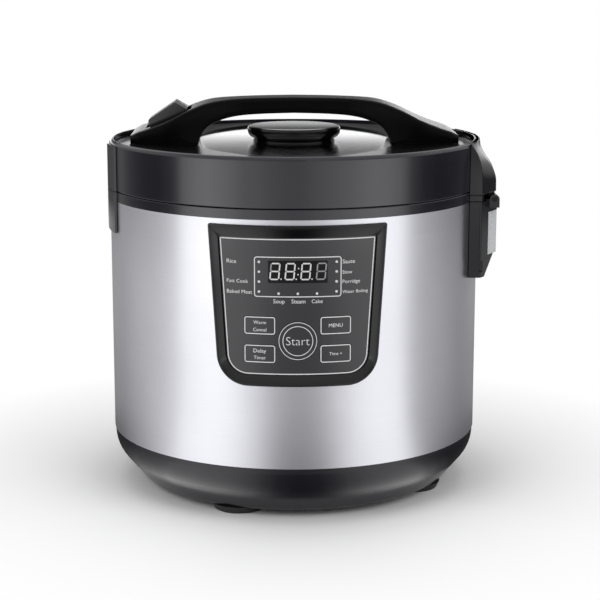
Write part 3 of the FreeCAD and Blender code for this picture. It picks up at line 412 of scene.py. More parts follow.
panel_low, panel_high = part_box("panel_frame")
r_film = -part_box("panel_face")[0].y
r_trim = -panel_low.y
r_wall = -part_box("outer_shell")[0].y
half_top = panel_high.x
side_taper = 0.0067
half_low = half_top - side_taper


def shield(top, side, low):
    """Outline of the panel, pulled in by its own distance at the top, sides and foot."""
    z_high = panel_high.z - top
    z_foot = panel_low.z + low
    lean = (half_top - half_low) / (panel_high.z - panel_low.z)
    wide = half_top - lean * top - side
    narrow = half_low + lean * low - side
    tip = max(0.0016 - side, 0.0005)
    bend = max(0.021 - (side + low) / 2, 0.002)
    return outline([(-wide, z_high, tip), (wide, z_high, tip), (narrow, z_foot, bend),
        (-narrow, z_foot, bend)], 12, 30)


def on_body(points, r):
    """Points of the panel's plane, laid on a round of radius r about the body's axis."""
    return [Vector((p.x, -math.sqrt(r * r - p.x * p.x), p.y)) for p in points]


trim_rings = [on_body(shield(0, 0, 0), r_wall + 0.00005), on_body(shield(0, 0, 0), r_trim - 0.0005),
    on_body(shield(0.0002, 0.0002, 0.0002), r_trim - 0.0001),
    on_body(shield(0.0006, 0.0006, 0.0006), r_trim)]
for k in range(15):
    t = k / 14
    pull = 0.0010 + 0.0079 * t, 0.0010 + 0.0050 * t, 0.0010 + 0.0059 * t
    trim_rings.append(on_body(shield(*pull), r_trim - (r_trim - r_film - 0.0003) * t ** 1.15))
trim_rings.append(on_body(shield(0.0090, 0.0061, 0.0070), r_film - 0.0004))
trim_rings.append(on_body(shield(0.0094, 0.0065, 0.0074), r_film - 0.0004))
trim_rings.append(on_body(shield(0.0095, 0.0074, 0.0075), r_film + 0.00005))
trim_rings.append(on_body(shield(0.0095, 0.0078, 0.0079), r_film - 0.0012))
trim_rings.append(on_body(shield(0.0060, 0.0060, 0.0060), r_film - 0.0024))
trim_rings.append(on_body(shield(0.0016, 0.0016, 0.0016), r_film - 0.0024))
trim_rings.append(on_body(shield(0.0016, 0.0016, 0.0016), r_wall + 0.00005))
trim_rings.append(trim_rings[0])
trim_abs = moulded("piano_black_abs", "07070a", "0c0c10", 0.12, 2.0, 0.002,
    IOR=1.53, **{"Specular IOR Level": 0.3})
bm = loft(trim_rings, ends=False)
bmesh.ops.remove_doubles(bm, verts=bm.verts, dist=1e-6)
bmesh.ops.recalc_face_normals(bm, faces=bm.faces)
piece("panel_trim", bm, trim_abs, "base", "bezel_plastic", "panel_frame", crease=30)

film = moulded("polycarbonate_film", "222225", "29292c", 0.18, 1.4, 0.003,
    IOR=1.58, **{"Specular IOR Level": 0.42})
dress(film, "panel_face", "key_warm", "key_delay", "key_start", "key_menu", "key_time")
smoked = moulded("smoked_acrylic", "040405", "070709", 0.08, 2.0, 0.001,
    IOR=1.49, **{"Specular IOR Level": 0.25})
dress(smoked, "display_window")
display_case = moulded("display_case_abs", "101012", "18181b", 0.4, 0.6, 0.01, 12.0)
dress(display_case, "display_module")
lamp_resin = moulded("clear_epoxy_resin", "dededf", "f2f2f3", 0.2, 0.4, 0.004, 3.0, IOR=1.54)
dress(lamp_resin, "indicator_lamps")

# ---------------------------------------------------------------- printed lines, words and digits
# White silk-screen ink on the film and on the keys, and the four seven-bar figures behind
# the display window; the glow of their lit bars is painted on as a pale colour. The maker's place above the
# display is bare.
ink = moulded("silk_screen_ink", "c9c9ca", "e2e2e3", 0.5, 0.5, 0.004, 6.0, IOR=1.5)
# painted glow: the lit bars get a pale diffuse colour in place of the light they give; nothing here emits
bars = moulded("lit_bar_painted_glow", "b9b9ba", "dcdcdd", 0.35, 1.2, 0.002, 5.0, IOR=1.5)
dim_bars = moulded("unlit_bar_resin", "7c7c7e", "929294", 0.35, 1.2, 0.002, 5.0, IOR=1.5)


def stroke(bm, points, width, r, closed=True):
    """Flat printed line of one width along points on the body."""
    count = len(points)
    rows = []
    for k, p in enumerate(points):
        before = points[k - 1] if closed or k else points[0]
        after = points[(k + 1) % count] if closed or k + 1 < count else points[-1]
        along = (after - before).normalized()
        across = Vector((-along.y, along.x)) * (width / 2)
        rows.append([bm.verts.new(v) for v in on_body([p - across, p + across], r)])
    for k in range(count if closed else count - 1):
        a, b = rows[k], rows[(k + 1) % count]
        bm.faces.new((a[0], b[0], b[1], a[1]))


def circle(x, z, r, count=72):
    return [Vector((x + r * math.cos(math.tau * k / count), z + r * math.sin(math.tau * k / count)))
        for k in range(count)]


def rectangle(x0, x1, z0, z1, corner, edge=8):
    return outline([(x0, z0, corner), (x1, z0, corner), (x1, z1, corner), (x0, z1, corner)], 6, edge)


def print_word(bm, text, x, z, wide, r, align="LEFT", bold=0.0):
    """A word in plain sans letters, 'wide' across, with its middle at height z."""
    curve = bpy.data.curves.new("word", "FONT")
    curve.body = text
    curve.offset = bold
    curve.resolution_u = 3
    holder = bpy.data.objects.new("word", curve)
    bpy.context.scene.collection.objects.link(holder)
    bpy.context.view_layer.update()
    mesh = bpy.data.meshes.new_from_object(holder.evaluated_get(bpy.context.evaluated_depsgraph_get()))
    xs = [v.co.x for v in mesh.vertices]
    size = wide / (max(xs) - min(xs))
    start = x - min(xs) * size - (wide / 2 if align == "CENTRE" else 0.0)
    for v in mesh.vertices:
        flat = Vector((start + v.co.x * size, z + (v.co.y - 0.34) * size))
        v.co = on_body([flat], r)[0]
    bm.from_mesh(mesh)
    bpy.data.objects.remove(holder)
    bpy.data.curves.remove(curve)
    bpy.data.meshes.remove(mesh)


r_ink = r_film + 0.00006
prints = bmesh.new()
stroke(prints, shield(0.0100, 0.0079, 0.0079), 0.0007, r_ink)
z_top = panel_high.z
stroke(prints, rectangle(-0.0291, 0.0291, z_top - 0.0489, z_top - 0.0220, 0.0016, 20), 0.0006, r_ink)
left_words = (("Rice", 21.5, 6.4), ("Fast Cook", 34.9, 14.4), ("Baked Meat", 42.2, 17.0))
for text, drop, wide in left_words:
    print_word(prints, text, -0.0478, z_top - drop / 1000 - 0.0039, wide / 1000, r_ink)
right_words = (("Saute", 21.5, 8.4), ("Stew", 28.7, 6.6), ("Porridge", 35.2, 12.0),
    ("Water Boiling", 42.2, 17.4))
for text, drop, wide in right_words:
    print_word(prints, text, 0.0301, z_top - drop / 1000 - 0.0039, wide / 1000, r_ink)
for text, x, wide in (("Soup", -12.7, 7.6), ("Steam", 0.4, 9.4), ("Cake", 13.0, 7.4)):
    print_word(prints, text, x / 1000, z_top - 0.0520, wide / 1000, r_ink, "CENTRE")
piece("panel_prints", prints, ink, "base", "panel_film")

key_words = {
    "key_warm": (("Warm", 0.0022, 8.6), ("Cancel", -0.0028, 8.9)),
    "key_delay": (("Delay", 0.0022, 8.6), ("Timer", -0.0026, 8.3)),
    "key_menu": (("MENU", 0.0, 9.4),),
    "key_time": (("Time +", 0.0, 8.6),),
    "key_start": (("Start", 0.0, 15.8),),
}
for node, lines in key_words.items():
    low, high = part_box(node)
    x = (low.x + high.x) / 2
    z = (low.z + high.z) / 2
    half_x = (high.x - low.x) / 2 - 0.0004
    half_z = (high.z - low.z) / 2 - 0.0004
    r_key = r_film + 0.00041
    marks = bmesh.new()
    if node == "key_start":
        stroke(marks, circle(x, z, half_x), 0.0004, r_key)
        stroke(marks, circle(x, z, half_x - 0.0027), 0.00045, r_key)
    else:
        stroke(marks, rectangle(x - half_x, x + half_x, z - half_z, z + half_z, 0.0013), 0.0006, r_key)
    for text, rise, wide in lines:
        print_word(marks, text, x, z + rise, wide / 1000, r_key, "CENTRE", -0.016 if wide > 12 else 0.0)
    piece(node + "_print", marks, ink, node + "_body", "key_film")

window_low, window_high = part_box("display_window")
r_window = r_film + 0.00004
lit, unlit = bmesh.new(), bmesh.new()
z_mid = (window_low.z + window_high.z) / 2 + 0.0003
bar, tall, wide = 0.00095, 0.0108, 0.0058
lean = 0.09
dim = ("f", "", "", "abcdefg")
ends = {"a": ((0, 2), (1, 2)), "b": ((1, 1), (1, 2)), "c": ((1, 0), (1, 1)), "d": ((0, 0), (1, 0)),
    "e": ((0, 0), (0, 1)), "f": ((0, 1), (0, 2)), "g": ((0, 1), (1, 1))}
for k, x in enumerate((-0.0154, -0.0052, 0.0054, 0.0158)):
    for name, span in ends.items():
        a, b = [Vector(((p[0] - 0.5) * wide, (p[1] - 1) * tall / 2)) for p in span]
        way = (b - a).normalized()
        a, b = a + way * 0.0002, b - way * 0.0002
        side = Vector((-way.y, way.x)) * (bar / 2)
        flat = [a, a + way * bar / 2 - side, b - way * bar / 2 - side, b, b - way * bar / 2 + side,
            a + way * bar / 2 + side]
        flat = [Vector((x + p.x + p.y * lean, z_mid + p.y)) for p in flat]
        bm = unlit if name in dim[k] else lit
        bm.faces.new([bm.verts.new(v) for v in on_body(flat, r_window)])
    dot = [Vector((x + wide / 2 + 0.0012 + p.x, z_mid - tall / 2 + 0.0002 + p.y))
        for p in circle(0, 0, 0.0005, 12)]
    if k < 3:
        lit.faces.new([lit.verts.new(v) for v in on_body(dot, r_window)])
for rise in (-0.0021, 0.0021):
    dot = [Vector((0.0003 + rise * lean + p.x, z_mid + rise + p.y)) for p in circle(0, 0, 0.0005, 12)]
    lit.faces.new([lit.verts.new(v) for v in on_body(dot, r_window)])
# the lit bars, with their glow painted on as a pale colour
piece("display_figures", lit, bars, "base", "display_lens")
piece("display_dim_bars", unlit, dim_bars, "base", "display_lens")

# ---------------------------------------------------------------- mains inlet
# Three-pole appliance inlet of black nylon with brass pins, low at the back.
inlet_nylon = moulded("black_nylon", "17171a", "222226", 0.4, 0.5, 0.015, 14.0)
dress(inlet_nylon, "power_inlet")
brass = metal("stamped_brass", "b08a3c", "cfa85a", 0.28, (400, 400, 120), 6.0)
dress(brass, "inlet_pins")

# ---------------------------------------------------------------- hinge and dew cup
# Hinge block in glossy black ABS behind the body. Its lid half has leaf-shaped flanks that
# run out at the top of the lid and a knuckle round the pin; its body half holds the cup.
def through(points, x):
    """Smooth height at x through (x, height) points, as a Catmull-Rom curve."""
    for k in range(len(points) - 1):
        if points[k][0] <= x <= points[k + 1][0]:
            a = points[max(k - 1, 0)]
            b, c = points[k], points[k + 1]
            d = points[min(k + 2, len(points) - 1)]
            t = (x - b[0]) / (c[0] - b[0])
            m0 = (c[1] - a[1]) / (c[0] - a[0]) * (c[0] - b[0])
            m1 = (d[1] - b[1]) / (d[0] - b[0]) * (c[0] - b[0])
            return ((2 * t ** 3 - 3 * t * t + 1) * b[1] + (t ** 3 - 2 * t * t + t) * m0
                + (3 * t * t - 2 * t ** 3) * c[1] + (t ** 3 - t * t) * m1)
    return points[-1][1]


def join(bm, part):
    """Adds a part's mesh to another's and frees it."""
    mesh = bpy.data.meshes.new("part")
    part.to_mesh(mesh)
    part.free()
    bm.from_mesh(mesh)
    bpy.data.meshes.remove(mesh)


hinge_abs = moulded("hinge_abs", "0b0b0f", "111116", 0.2, 1.2, 0.003,
    IOR=1.53, **{"Specular IOR Level": 0.25})
dress(hinge_abs, "hinge_bracket")
pin_low, pin_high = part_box("hinge_pin")
x_pin = (pin_low.x + pin_high.x) / 2
z_pin = (pin_low.z + pin_high.z) / 2
r_back, h_cover = 0.1353, 0.0415
flank = [(0, 0.0089), (0.0114, 0.0089), (0.0215, 0.0083), (0.030, 0.0063), (0.036, 0.0035),
    (0.0395, 0.0010), (0.0415, 0.0002)]
shoulder = [(0, 0.0140), (0.0078, 0.0140), (0.0144, 0.0137), (0.0211, 0.0114), (0.0255, 0.0085),
    (0.030, 0.0048), (0.036, 0.0013), (0.0415, 0.0002)]


def hinge_section(z, x_most=1.0, pull=0.0):
    """Outline of the cover at one height, seen from above, no further out than x_most."""
    rise = min(max(z - z_pin, 0.0), h_cover)
    half = 0.054 - 0.0012 * (rise / h_cover) ** 2 - pull
    flank_out = max(through(flank, rise), 0.0002) - pull
    out = max(through(shoulder, rise), 0.0002) - pull
    x_flank = math.sqrt(r_back ** 2 - half ** 2) + flank_out
    x_corner = math.sqrt(r_back ** 2 - 0.030 ** 2) + out
    x_middle = r_back + 0.86 * out
    x_start = math.sqrt(r_back ** 2 - half ** 2)
    soft = max(min(0.0014, flank_out * 0.4), 0.00003)
    wide = max(min(0.008, out * 0.8), 0.00005)
    corners = [(x_flank, -half, soft), (x_corner, -0.030, wide), (x_middle, -0.012, wide),
        (x_middle, 0.012, wide), (x_corner, 0.030, wide), (x_flank, half, soft)]
    ring = outline([(x_start, -half, 0)] + corners + [(x_start, half, 0)], 5, 1)
    back = [half - 2 * half * k / 24 for k in range(1, 24)]
    flat = [(min(p.x, x_most), p.y) for p in ring] + [(math.sqrt(r_back ** 2 - y * y), y) for y in back]
    return [Vector((x, y, z)) for x, y in flat]


x_web = x_pin - 0.0041
cover_rings = [hinge_section(z_pin + rise, x_web) for rise in (0.0003, 0.0041)]
cover_rings += [hinge_section(z_pin + 0.0042, 1.0, 0.0005), hinge_section(z_pin + 0.0044, 1.0, 0.0002),
    hinge_section(z_pin + 0.0048)]
cover_rings += [hinge_section(z_pin + 0.0048 + k / 40 * 0.0366) for k in range(1, 41)]
cover_bm = loft(cover_rings)
knuckle = [[Vector((x_pin + 0.0035 * math.sin(a), y, z_pin - 0.0035 * math.cos(a))) for a in
    [math.tau * k / 40 for k in range(40)]] for y in (-0.035, 0.035)]
web = [[Vector((x_pin + x, y, z_pin + z)) for x, z in ((-0.0035, 0), (0.0005, 0), (0.0005, 0.0055),
    (-0.0035, 0.0055))] for y in (-0.035, 0.035)]
for rings in (knuckle, web):
    join(cover_bm, loft(rings))
piece("hinge_cover", cover_bm, hinge_abs, "lid", "hinge_plastic", "lid_hinge_cover", crease=32)

clear_cup = moulded("frosted_polypropylene", "d2d4d6", "e4e6e7", 0.3, 0.8, 0.01, 20.0,
    IOR=1.49, **{"Transmission Weight": 0.35})
dress(clear_cup, "dew_cup")

# ---------------------------------------------------------------- lid band and deck
band_abs = moulded("lid_band_abs", "131218", "1a1921", 0.12, 1.5, 0.003, IOR=1.53)
dress(band_abs, "lid_ring", "lid_latch_boss")
deck_plastic = moulded("deck_polypropylene", "1c1c1e", "262629", 0.4, 0.6, 0.01)
dress(deck_plastic, "lid_deck")

# ---------------------------------------------------------------- lid plate
# Polished stainless plate in the middle of the lid.
plate_steel = metal("polished_stainless_steel", "b4b4b8", "c0c0c4", 0.12, (20, 1600, 60), 70.0, 0.001)
dress(plate_steel, "lid_plate")

# ---------------------------------------------------------------- handle
# One arched carrying handle of deep black ABS over the steam vent. Its legs widen into two
# crescent pads that are screwed down through the lid from below.
z_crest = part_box("handle")[1].z
z_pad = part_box("lid_plate")[1].z + 0.001
half_span = 0.118
r_pad = 0.1290
roof = [(0, 0), (0.032, -0.0006), (0.052, -0.0019), (0.064, -0.0040), (0.078, -0.0092),
    (0.091, -0.0156), (0.104, -0.0208), (half_span, -0.0254)]
belly = [(0, -0.0116), (0.024, -0.0123), (0.042, -0.0138), (0.054, -0.0166), (0.064, -0.0221),
    (0.0705, -0.0330)]


def handle_section(x):
    """Rounded section of the handle at x, as points across Y and Z."""
    top = z_crest + through(roof, abs(x))
    foot = z_pad - 0.0004
    if abs(x) < 0.0705:
        foot = max(foot, z_crest + through(belly, abs(x)))
    t = min(max((abs(x) - 0.034) / 0.0615, 0.0), 1.0)
    half = 0.014 + (0.034 - 0.014) * t * t * (3 - 2 * t)
    cut = max(abs(x) - (half_span - 0.0045), 0.0) / 0.0045
    half -= 0.0045 * cut
    top -= 0.0008 * cut
    bend = min(0.0034, (top - foot) * 0.4)
    low_bend = bend if foot > z_pad + 0.001 else 0.0004
    ring = outline([(-half, foot, low_bend), (half, foot, low_bend), (half, top, bend),
        (-half, top, bend)], 8, 6)
    return [Vector((x, p.x, p.y)) for p in ring]


stations = [k / 60 * 0.060 for k in range(61)] + [0.060 + k / 40 * 0.0115 for k in range(1, 41)]
stations += [0.0715 + k / 36 * (half_span - 0.0715) for k in range(1, 37)]
stations = [-x for x in stations[:0:-1]] + stations
handle_bm = loft([handle_section(x) for x in stations])
for sign in (-1, 1):
    rows = []
    for k in range(121):
        y = -0.1288 * math.cos(math.pi * k / 120)
        inner = 0.075 - (0.150 - math.sqrt(0.150 ** 2 - y * y))
        outer = min(math.sqrt(r_pad ** 2 - y * y), 0.1185)
        soft = min(0.0008, (outer - inner) * 0.3)
        low = z_pad - 0.0026
        ring = [(inner, low), (inner, z_pad - soft), (inner + 0.3 * soft, z_pad - 0.3 * soft),
            (inner + soft, z_pad), (outer - soft, z_pad), (outer, z_pad - soft), (outer, low)]
        rows.append([Vector((sign * px, y, pz)) for px, pz in ring])
    join(handle_bm, loft(rows))
handle_abs = moulded("deep_black_abs", "030304", "050506", 0.22, 0.9, 0.002,
    IOR=1.5, **{"Specular IOR Level": 0.06})
handle = piece("carrying_handle", handle_bm, handle_abs, "lid", "handle_plastic", "handle", crease=40)


def prism(points, half, bend, steps=3):
    """Block with an (x, z) outline, 'half' to each side of the middle, its edges rounded."""
    bm = bmesh.new()
    near = [bm.verts.new((x, -half, z)) for x, z in points]
    far = [bm.verts.new((x, half, z)) for x, z in points]
    count = len(points)
    bm.faces.new(near)
    bm.faces.new(far[::-1])
    for k in range(count):
        j = (k + 1) % count
        bm.faces.new((near[k], far[k], far[j], near[j]))
    bmesh.ops.recalc_face_normals(bm, faces=bm.faces)
    if bend:
        bmesh.ops.bevel(bm, geom=bm.edges[:], offset=bend, segments=steps, affect="EDGES", profile=0.5,
            clamp_overlap=True)
    return bm


paddle_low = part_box("release_paddle")[0]
z_hinge = next(j["pos_m"][2] for j in frame["joints"] if j["name"] == "paddle_press") - 0.0046
recess = prism([(-0.1079, z_hinge + 0.0037), (-0.0763, z_hinge + 0.0134), (-0.0748, z_hinge + 0.0152),
    (-0.0748, z_hinge + 0.040), (-0.1079, z_hinge + 0.040)], 0.0155, 0)
cutter_mesh = bpy.data.meshes.new("recess")
recess.to_mesh(cutter_mesh)
recess.free()
cutter = bpy.data.objects.new("recess", cutter_mesh)
bpy.context.scene.collection.objects.link(cutter)
cut = handle.modifiers.new("recess", "BOOLEAN")
cut.object = cutter
cut.operation = "DIFFERENCE"
cut.solver = "EXACT"
cut.use_self = True
bpy.context.view_layer.update()
shaped = bpy.data.meshes.new_from_object(handle.evaluated_get(bpy.context.evaluated_depsgraph_get()))
handle.modifiers.clear()
handle.data = shaped
bpy.data.objects.remove(cutter)

# ---------------------------------------------------------------- release paddle
# Wedge of black ABS above the handle's left slope. It turns on a steel pin and its finger
# draws the latch bolt back.
paddle_abs = moulded("paddle_abs", "161618", "202023", 0.25, 0.9, 0.003)
cap = [(-0.1058, 0.0079), (-0.1058, 0.0116), (-0.0862, 0.0246), (-0.0774, 0.0194), (-0.0786, 0.0174),
    (-0.1040, 0.0061)]
paddle_bm = prism([(x, z_hinge + z) for x, z in cap], 0.015, 0.0008)
stem = prism([(-0.1050, z_hinge + 0.0104), (-0.0940, z_hinge + 0.0144), (-0.0970, z_hinge + 0.0024),
    (-0.1050, z_hinge + 0.0014)], 0.008, 0.0004)
finger = prism([(-0.1025, z_hinge + 0.004), (-0.0995, z_hinge + 0.004), (-0.0995, paddle_low.z),
    (-0.1025, paddle_low.z)], 0.0045, 0.0003)
for part in (stem, finger):
    join(paddle_bm, part)
piece("paddle_lever", paddle_bm, paddle_abs, "paddle", "paddle_plastic", "release_paddle", crease=30)
bolt_acetal = moulded("white_acetal", "bdbcb4", "cfcec6", 0.35, 0.7, 0.006, 15.0, IOR=1.48)
dress(bolt_acetal, "latch_bolt", "bolt_guide")

# ---------------------------------------------------------------- steam vent
# Round vent of glossy black ABS in the middle of the lid, with a waist, twelve steam slots
# round its underside and a satin steel disc let into its cap. The cap pulls off for washing.
vent_abs = moulded("vent_abs", "060607", "09090a", 0.14, 1.0, 0.002, IOR=1.52, **{"Specular IOR Level": 0.3})

# an (x, z) profile turned once round the Z axis, with a ring of slots cut into it
turn_tree, way_in, way_out = group_tree("turned", ("Steps", "Int"), ("Slots", "Int"),
    ("Slot size", "Vector"), ("Slot radius", "Float"), ("Slot height", "Float"), ("Material", "Material"))
loop = add(turn_tree, "GeometryNodeMeshToCurve", None, {0: (way_in, "Geometry")})
spot = add(turn_tree, "GeometryNodeInputPosition")
split = add(turn_tree, "ShaderNodeSeparateXYZ", None, {0: (spot, 0)})
across = add(turn_tree, "ShaderNodeMath", {"operation": "SUBTRACT", 1: 0.05}, {0: (split, 0)})
upward = add(turn_tree, "ShaderNodeMath", {"operation": "MULTIPLY", 1: -1.0}, {0: (split, 2)})
laid = add(turn_tree, "ShaderNodeCombineXYZ", None, {0: (across, 0), 1: (upward, 0)})
profile = add(turn_tree, "GeometryNodeSetPosition", None, {"Geometry": (loop, 0), "Position": (laid, 0)})
path = add(turn_tree, "GeometryNodeCurvePrimitiveCircle", {"Radius": 0.05},
    {"Resolution": (way_in, "Steps")})
swept = add(turn_tree, "GeometryNodeCurveToMesh", None, {"Curve": (path, 0), "Profile Curve": (profile, 0)})
outward = add(turn_tree, "GeometryNodeFlipFaces", None, {0: (swept, 0)})
ring = add(turn_tree, "GeometryNodeMeshCircle", {"Radius": 1.0}, {"Vertices": (way_in, "Slots")})
ring_size = add(turn_tree, "ShaderNodeCombineXYZ", None, {0: (way_in, "Slot radius"),
    1: (way_in, "Slot radius"), 2: (way_in, "Slot radius")})
ring_lift = add(turn_tree, "ShaderNodeCombineXYZ", None, {2: (way_in, "Slot height")})
spots = add(turn_tree, "GeometryNodeTransform", None, {"Geometry": (ring, 0), "Scale": (ring_size, 0),
    "Translation": (ring_lift, 0)})
slot_block = add(turn_tree, "GeometryNodeMeshCube", None, {"Size": (way_in, "Slot size")})
flat = add(turn_tree, "ShaderNodeVectorMath", {"operation": "MULTIPLY", 1: (1, 1, 0)}, {0: (spot, 0)})
facing = add(turn_tree, "FunctionNodeAlignRotationToVector", {"axis": "X"}, {"Vector": (flat, 0)})
blocks = add(turn_tree, "GeometryNodeInstanceOnPoints", None, {"Points": (spots, 0),
    "Instance": (slot_block, 0), "Rotation": (facing, 0)})
solid_blocks = add(turn_tree, "GeometryNodeRealizeInstances", None, {0: (blocks, 0)})
slotted = add(turn_tree, "GeometryNodeMeshBoolean", {"operation": "DIFFERENCE"}, {0: (outward, 0),
    1: (solid_blocks, 0)})
any_slot = add(turn_tree, "FunctionNodeCompare", {"data_type": "INT", "operation": "GREATER_THAN", 3: 0},
    {2: (way_in, "Slots")})
choice = add(turn_tree, "GeometryNodeSwitch", {"input_type": "GEOMETRY"}, {0: (any_slot, 0),
    1: (outward, 0), 2: (slotted, 0)})
real = add(turn_tree, "GeometryNodeRealizeInstances", None, {0: (choice, 0)})
coated = add(turn_tree, "GeometryNodeSetMaterial", None, {"Geometry": (real, 0),
    "Material": (way_in, "Material")})
turn_tree.links.new(coated.outputs[0], way_out.inputs[0])


def turned(name, corners, material, body, slot, *stands_for, steps=192, slots=0, slot_size=(0, 0, 0),
        slot_radius=0.0, slot_height=0.0, crease=35.0):
    """Ring or bowl from the (radius, z, rounding) corners of its section."""
    points = outline(corners, 6, 1)
    start = bpy.data.meshes.new(name)
    count = len(points)
    start.from_pydata([(max(p.x, 0.0), 0, p.y) for p in points], [(k, (k + 1) % count)
        for k in range(count)], [])
    return grown(name, start, turn_tree, {"Steps": steps, "Slots": slots, "Slot size": slot_size,
        "Slot radius": slot_radius, "Slot height": slot_height, "Material": material}, body, slot,
        *stands_for, crease=crease)


cap_low, cap_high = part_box("vent_cap")
disc_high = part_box("vent_disc")[1]
base_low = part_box("vent_base")[0]
r_vent = cap_high.x
z_cap = cap_high.z
z_foot = cap_low.z - 0.0023
turned("vent_collar", [(0.0141, base_low.z, 0), (0.0168, base_low.z, 0), (0.0168, z_foot + 0.0001, 0),
    (r_vent - 0.0040, z_foot - 0.0001, 0), (r_vent - 0.0038, z_foot + 0.0006, 0.0003),
    (r_vent - 0.0046, z_foot + 0.0020, 0.0006), (0.0220, z_foot + 0.0020, 0), (0.0220, z_foot + 0.0040, 0),
    (0.0190, z_foot + 0.0040, 0), (0.0141, z_foot + 0.0016, 0)], vent_abs, "lid", "vent_plastic",
    "vent_base")
turned("vent_knob", [(0.0226, z_foot + 0.0023, 0), (r_vent - 0.0040, z_foot + 0.0023, 0.0006),
    (r_vent - 0.0020, z_foot + 0.0034, 0.0010), (r_vent - 0.0001, z_foot + 0.0058, 0.0020),
    (r_vent, z_cap - 0.0014, 0.0012), (r_vent - 0.0009, z_cap, 0.0007), (r_vent - 0.0014, z_cap, 0),
    (r_vent - 0.0015, z_cap - 0.0006, 0), (0, z_cap - 0.0006, 0), (0, z_cap - 0.0024, 0),
    (r_vent - 0.0036, z_cap - 0.0024, 0.0010), (r_vent - 0.0036, z_foot + 0.0070, 0),
    (r_vent - 0.0060, z_foot + 0.0042, 0.0006), (0.0226, z_foot + 0.0042, 0)], vent_abs, "vent_cap_body",
    "vent_plastic", "vent_cap", slots=12, slot_size=(0.004, 0.0048, 0.0035), slot_radius=r_vent - 0.0075,
    slot_height=z_foot + 0.00325)
disc_steel = metal("turned_steel_disc", "b4b4b6", "c6c6c8", 0.3, (500, 500, 200), 30.0)
turned("vent_plate", [(0, z_cap - 0.0006, 0), (r_vent - 0.0016, z_cap - 0.0006, 0),
    (r_vent - 0.0016, disc_high.z, 0.0007), (0, disc_high.z + 0.0001, 0)], disc_steel, "vent_cap_body",
    "steel_disc", "vent_disc", crease=50)

# ---------------------------------------------------------------- inside of the lid
tray_plastic = moulded("tray_polypropylene", "38383a", "444447", 0.4, 0.7, 0.01)
dress(tray_plastic, "lid_inner")
lid_aluminium = metal("anodised_aluminium", "b6b7ba", "cacbce", 0.34, (900, 60, 900), 40.0)
dress(lid_aluminium, "inner_lid_plate")
silicone = moulded("silicone_rubber", "b9b8b2", "c9c8c2", 0.5, 0.9, 0.01, 20.0, IOR=1.42)
dress(silicone, "lid_gasket", "vent_tube")
sensor_cap = metal("sensor_cap_steel", "a2a2a4", "bcbcbe", 0.3, (500, 500, 500), 5.0)
dress(sensor_cap, "lid_sensor")

# ---------------------------------------------------------------- floor, studio and camera
# Pale seamless floor, white surroundings, and a light tent that only shiny surfaces see.
floor_mesh = bpy.data.meshes.new("floor")
floor_mesh.from_pydata([(-30, -30, 0), (30, -30, 0), (30, 30, 0), (-30, 30, 0)], [], [(0, 1, 2, 3)])
floor = bpy.data.objects.new("floor", floor_mesh)
bpy.context.scene.collection.objects.link(floor)
paper = bpy.data.materials.new("white_paper")
paper.use_nodes = True
tree = paper.node_tree
tree.nodes.clear()
place = add(tree, "ShaderNodeTexCoord")
length = add(tree, "ShaderNodeVectorMath", {"operation": "LENGTH"}, {0: (place, "Object")})
far = add(tree, "ShaderNodeMapRange", {1: 0.15, 2: 0.34, 3: 0.0, 4: 1.0}, {0: (length, "Value")})
ray = add(tree, "ShaderNodeLightPath")
seen = add(tree, "ShaderNodeMath", {"operation": "MULTIPLY"}, {0: (far, 0), 1: (ray, "Is Camera Ray")})
sheet = add(tree, "ShaderNodeBsdfPrincipled", {"Base Color": linear("f4f4f4"), "Roughness": 0.9})
white = add(tree, "ShaderNodeEmission", {"Strength": 1.0})
mix = add(tree, "ShaderNodeMixShader", None, {0: (seen, 0), 1: (sheet, 0), 2: (white, 0)})
add(tree, "ShaderNodeOutputMaterial", None, {"Surface": (mix, 0)})
floor_mesh.materials.append(paper)

world = bpy.data.worlds.new("studio")
bpy.context.scene.world = world
world.use_nodes = True
tree = world.node_tree
tree.nodes.clear()
ray = add(tree, "ShaderNodeLightPath")
shiny = add(tree, "ShaderNodeMath", {"operation": "MAXIMUM"}, {0: (ray, "Is Glossy Ray"),
    1: (ray, "Is Transmission Ray")})
plain = add(tree, "ShaderNodeMath", {"operation": "MAXIMUM"}, {0: (ray, "Is Camera Ray"), 1: (shiny, 0)})
level = add(tree, "ShaderNodeMapRange", {1: 0.0, 2: 1.0, 3: 0.6, 4: 1.0}, {0: (plain, 0)})
sky = add(tree, "ShaderNodeBackground", {"Color": (1, 1, 1, 1)}, {"Strength": (level, 0)})
add(tree, "ShaderNodeOutputWorld", None, {"Surface": (sky, 0)})

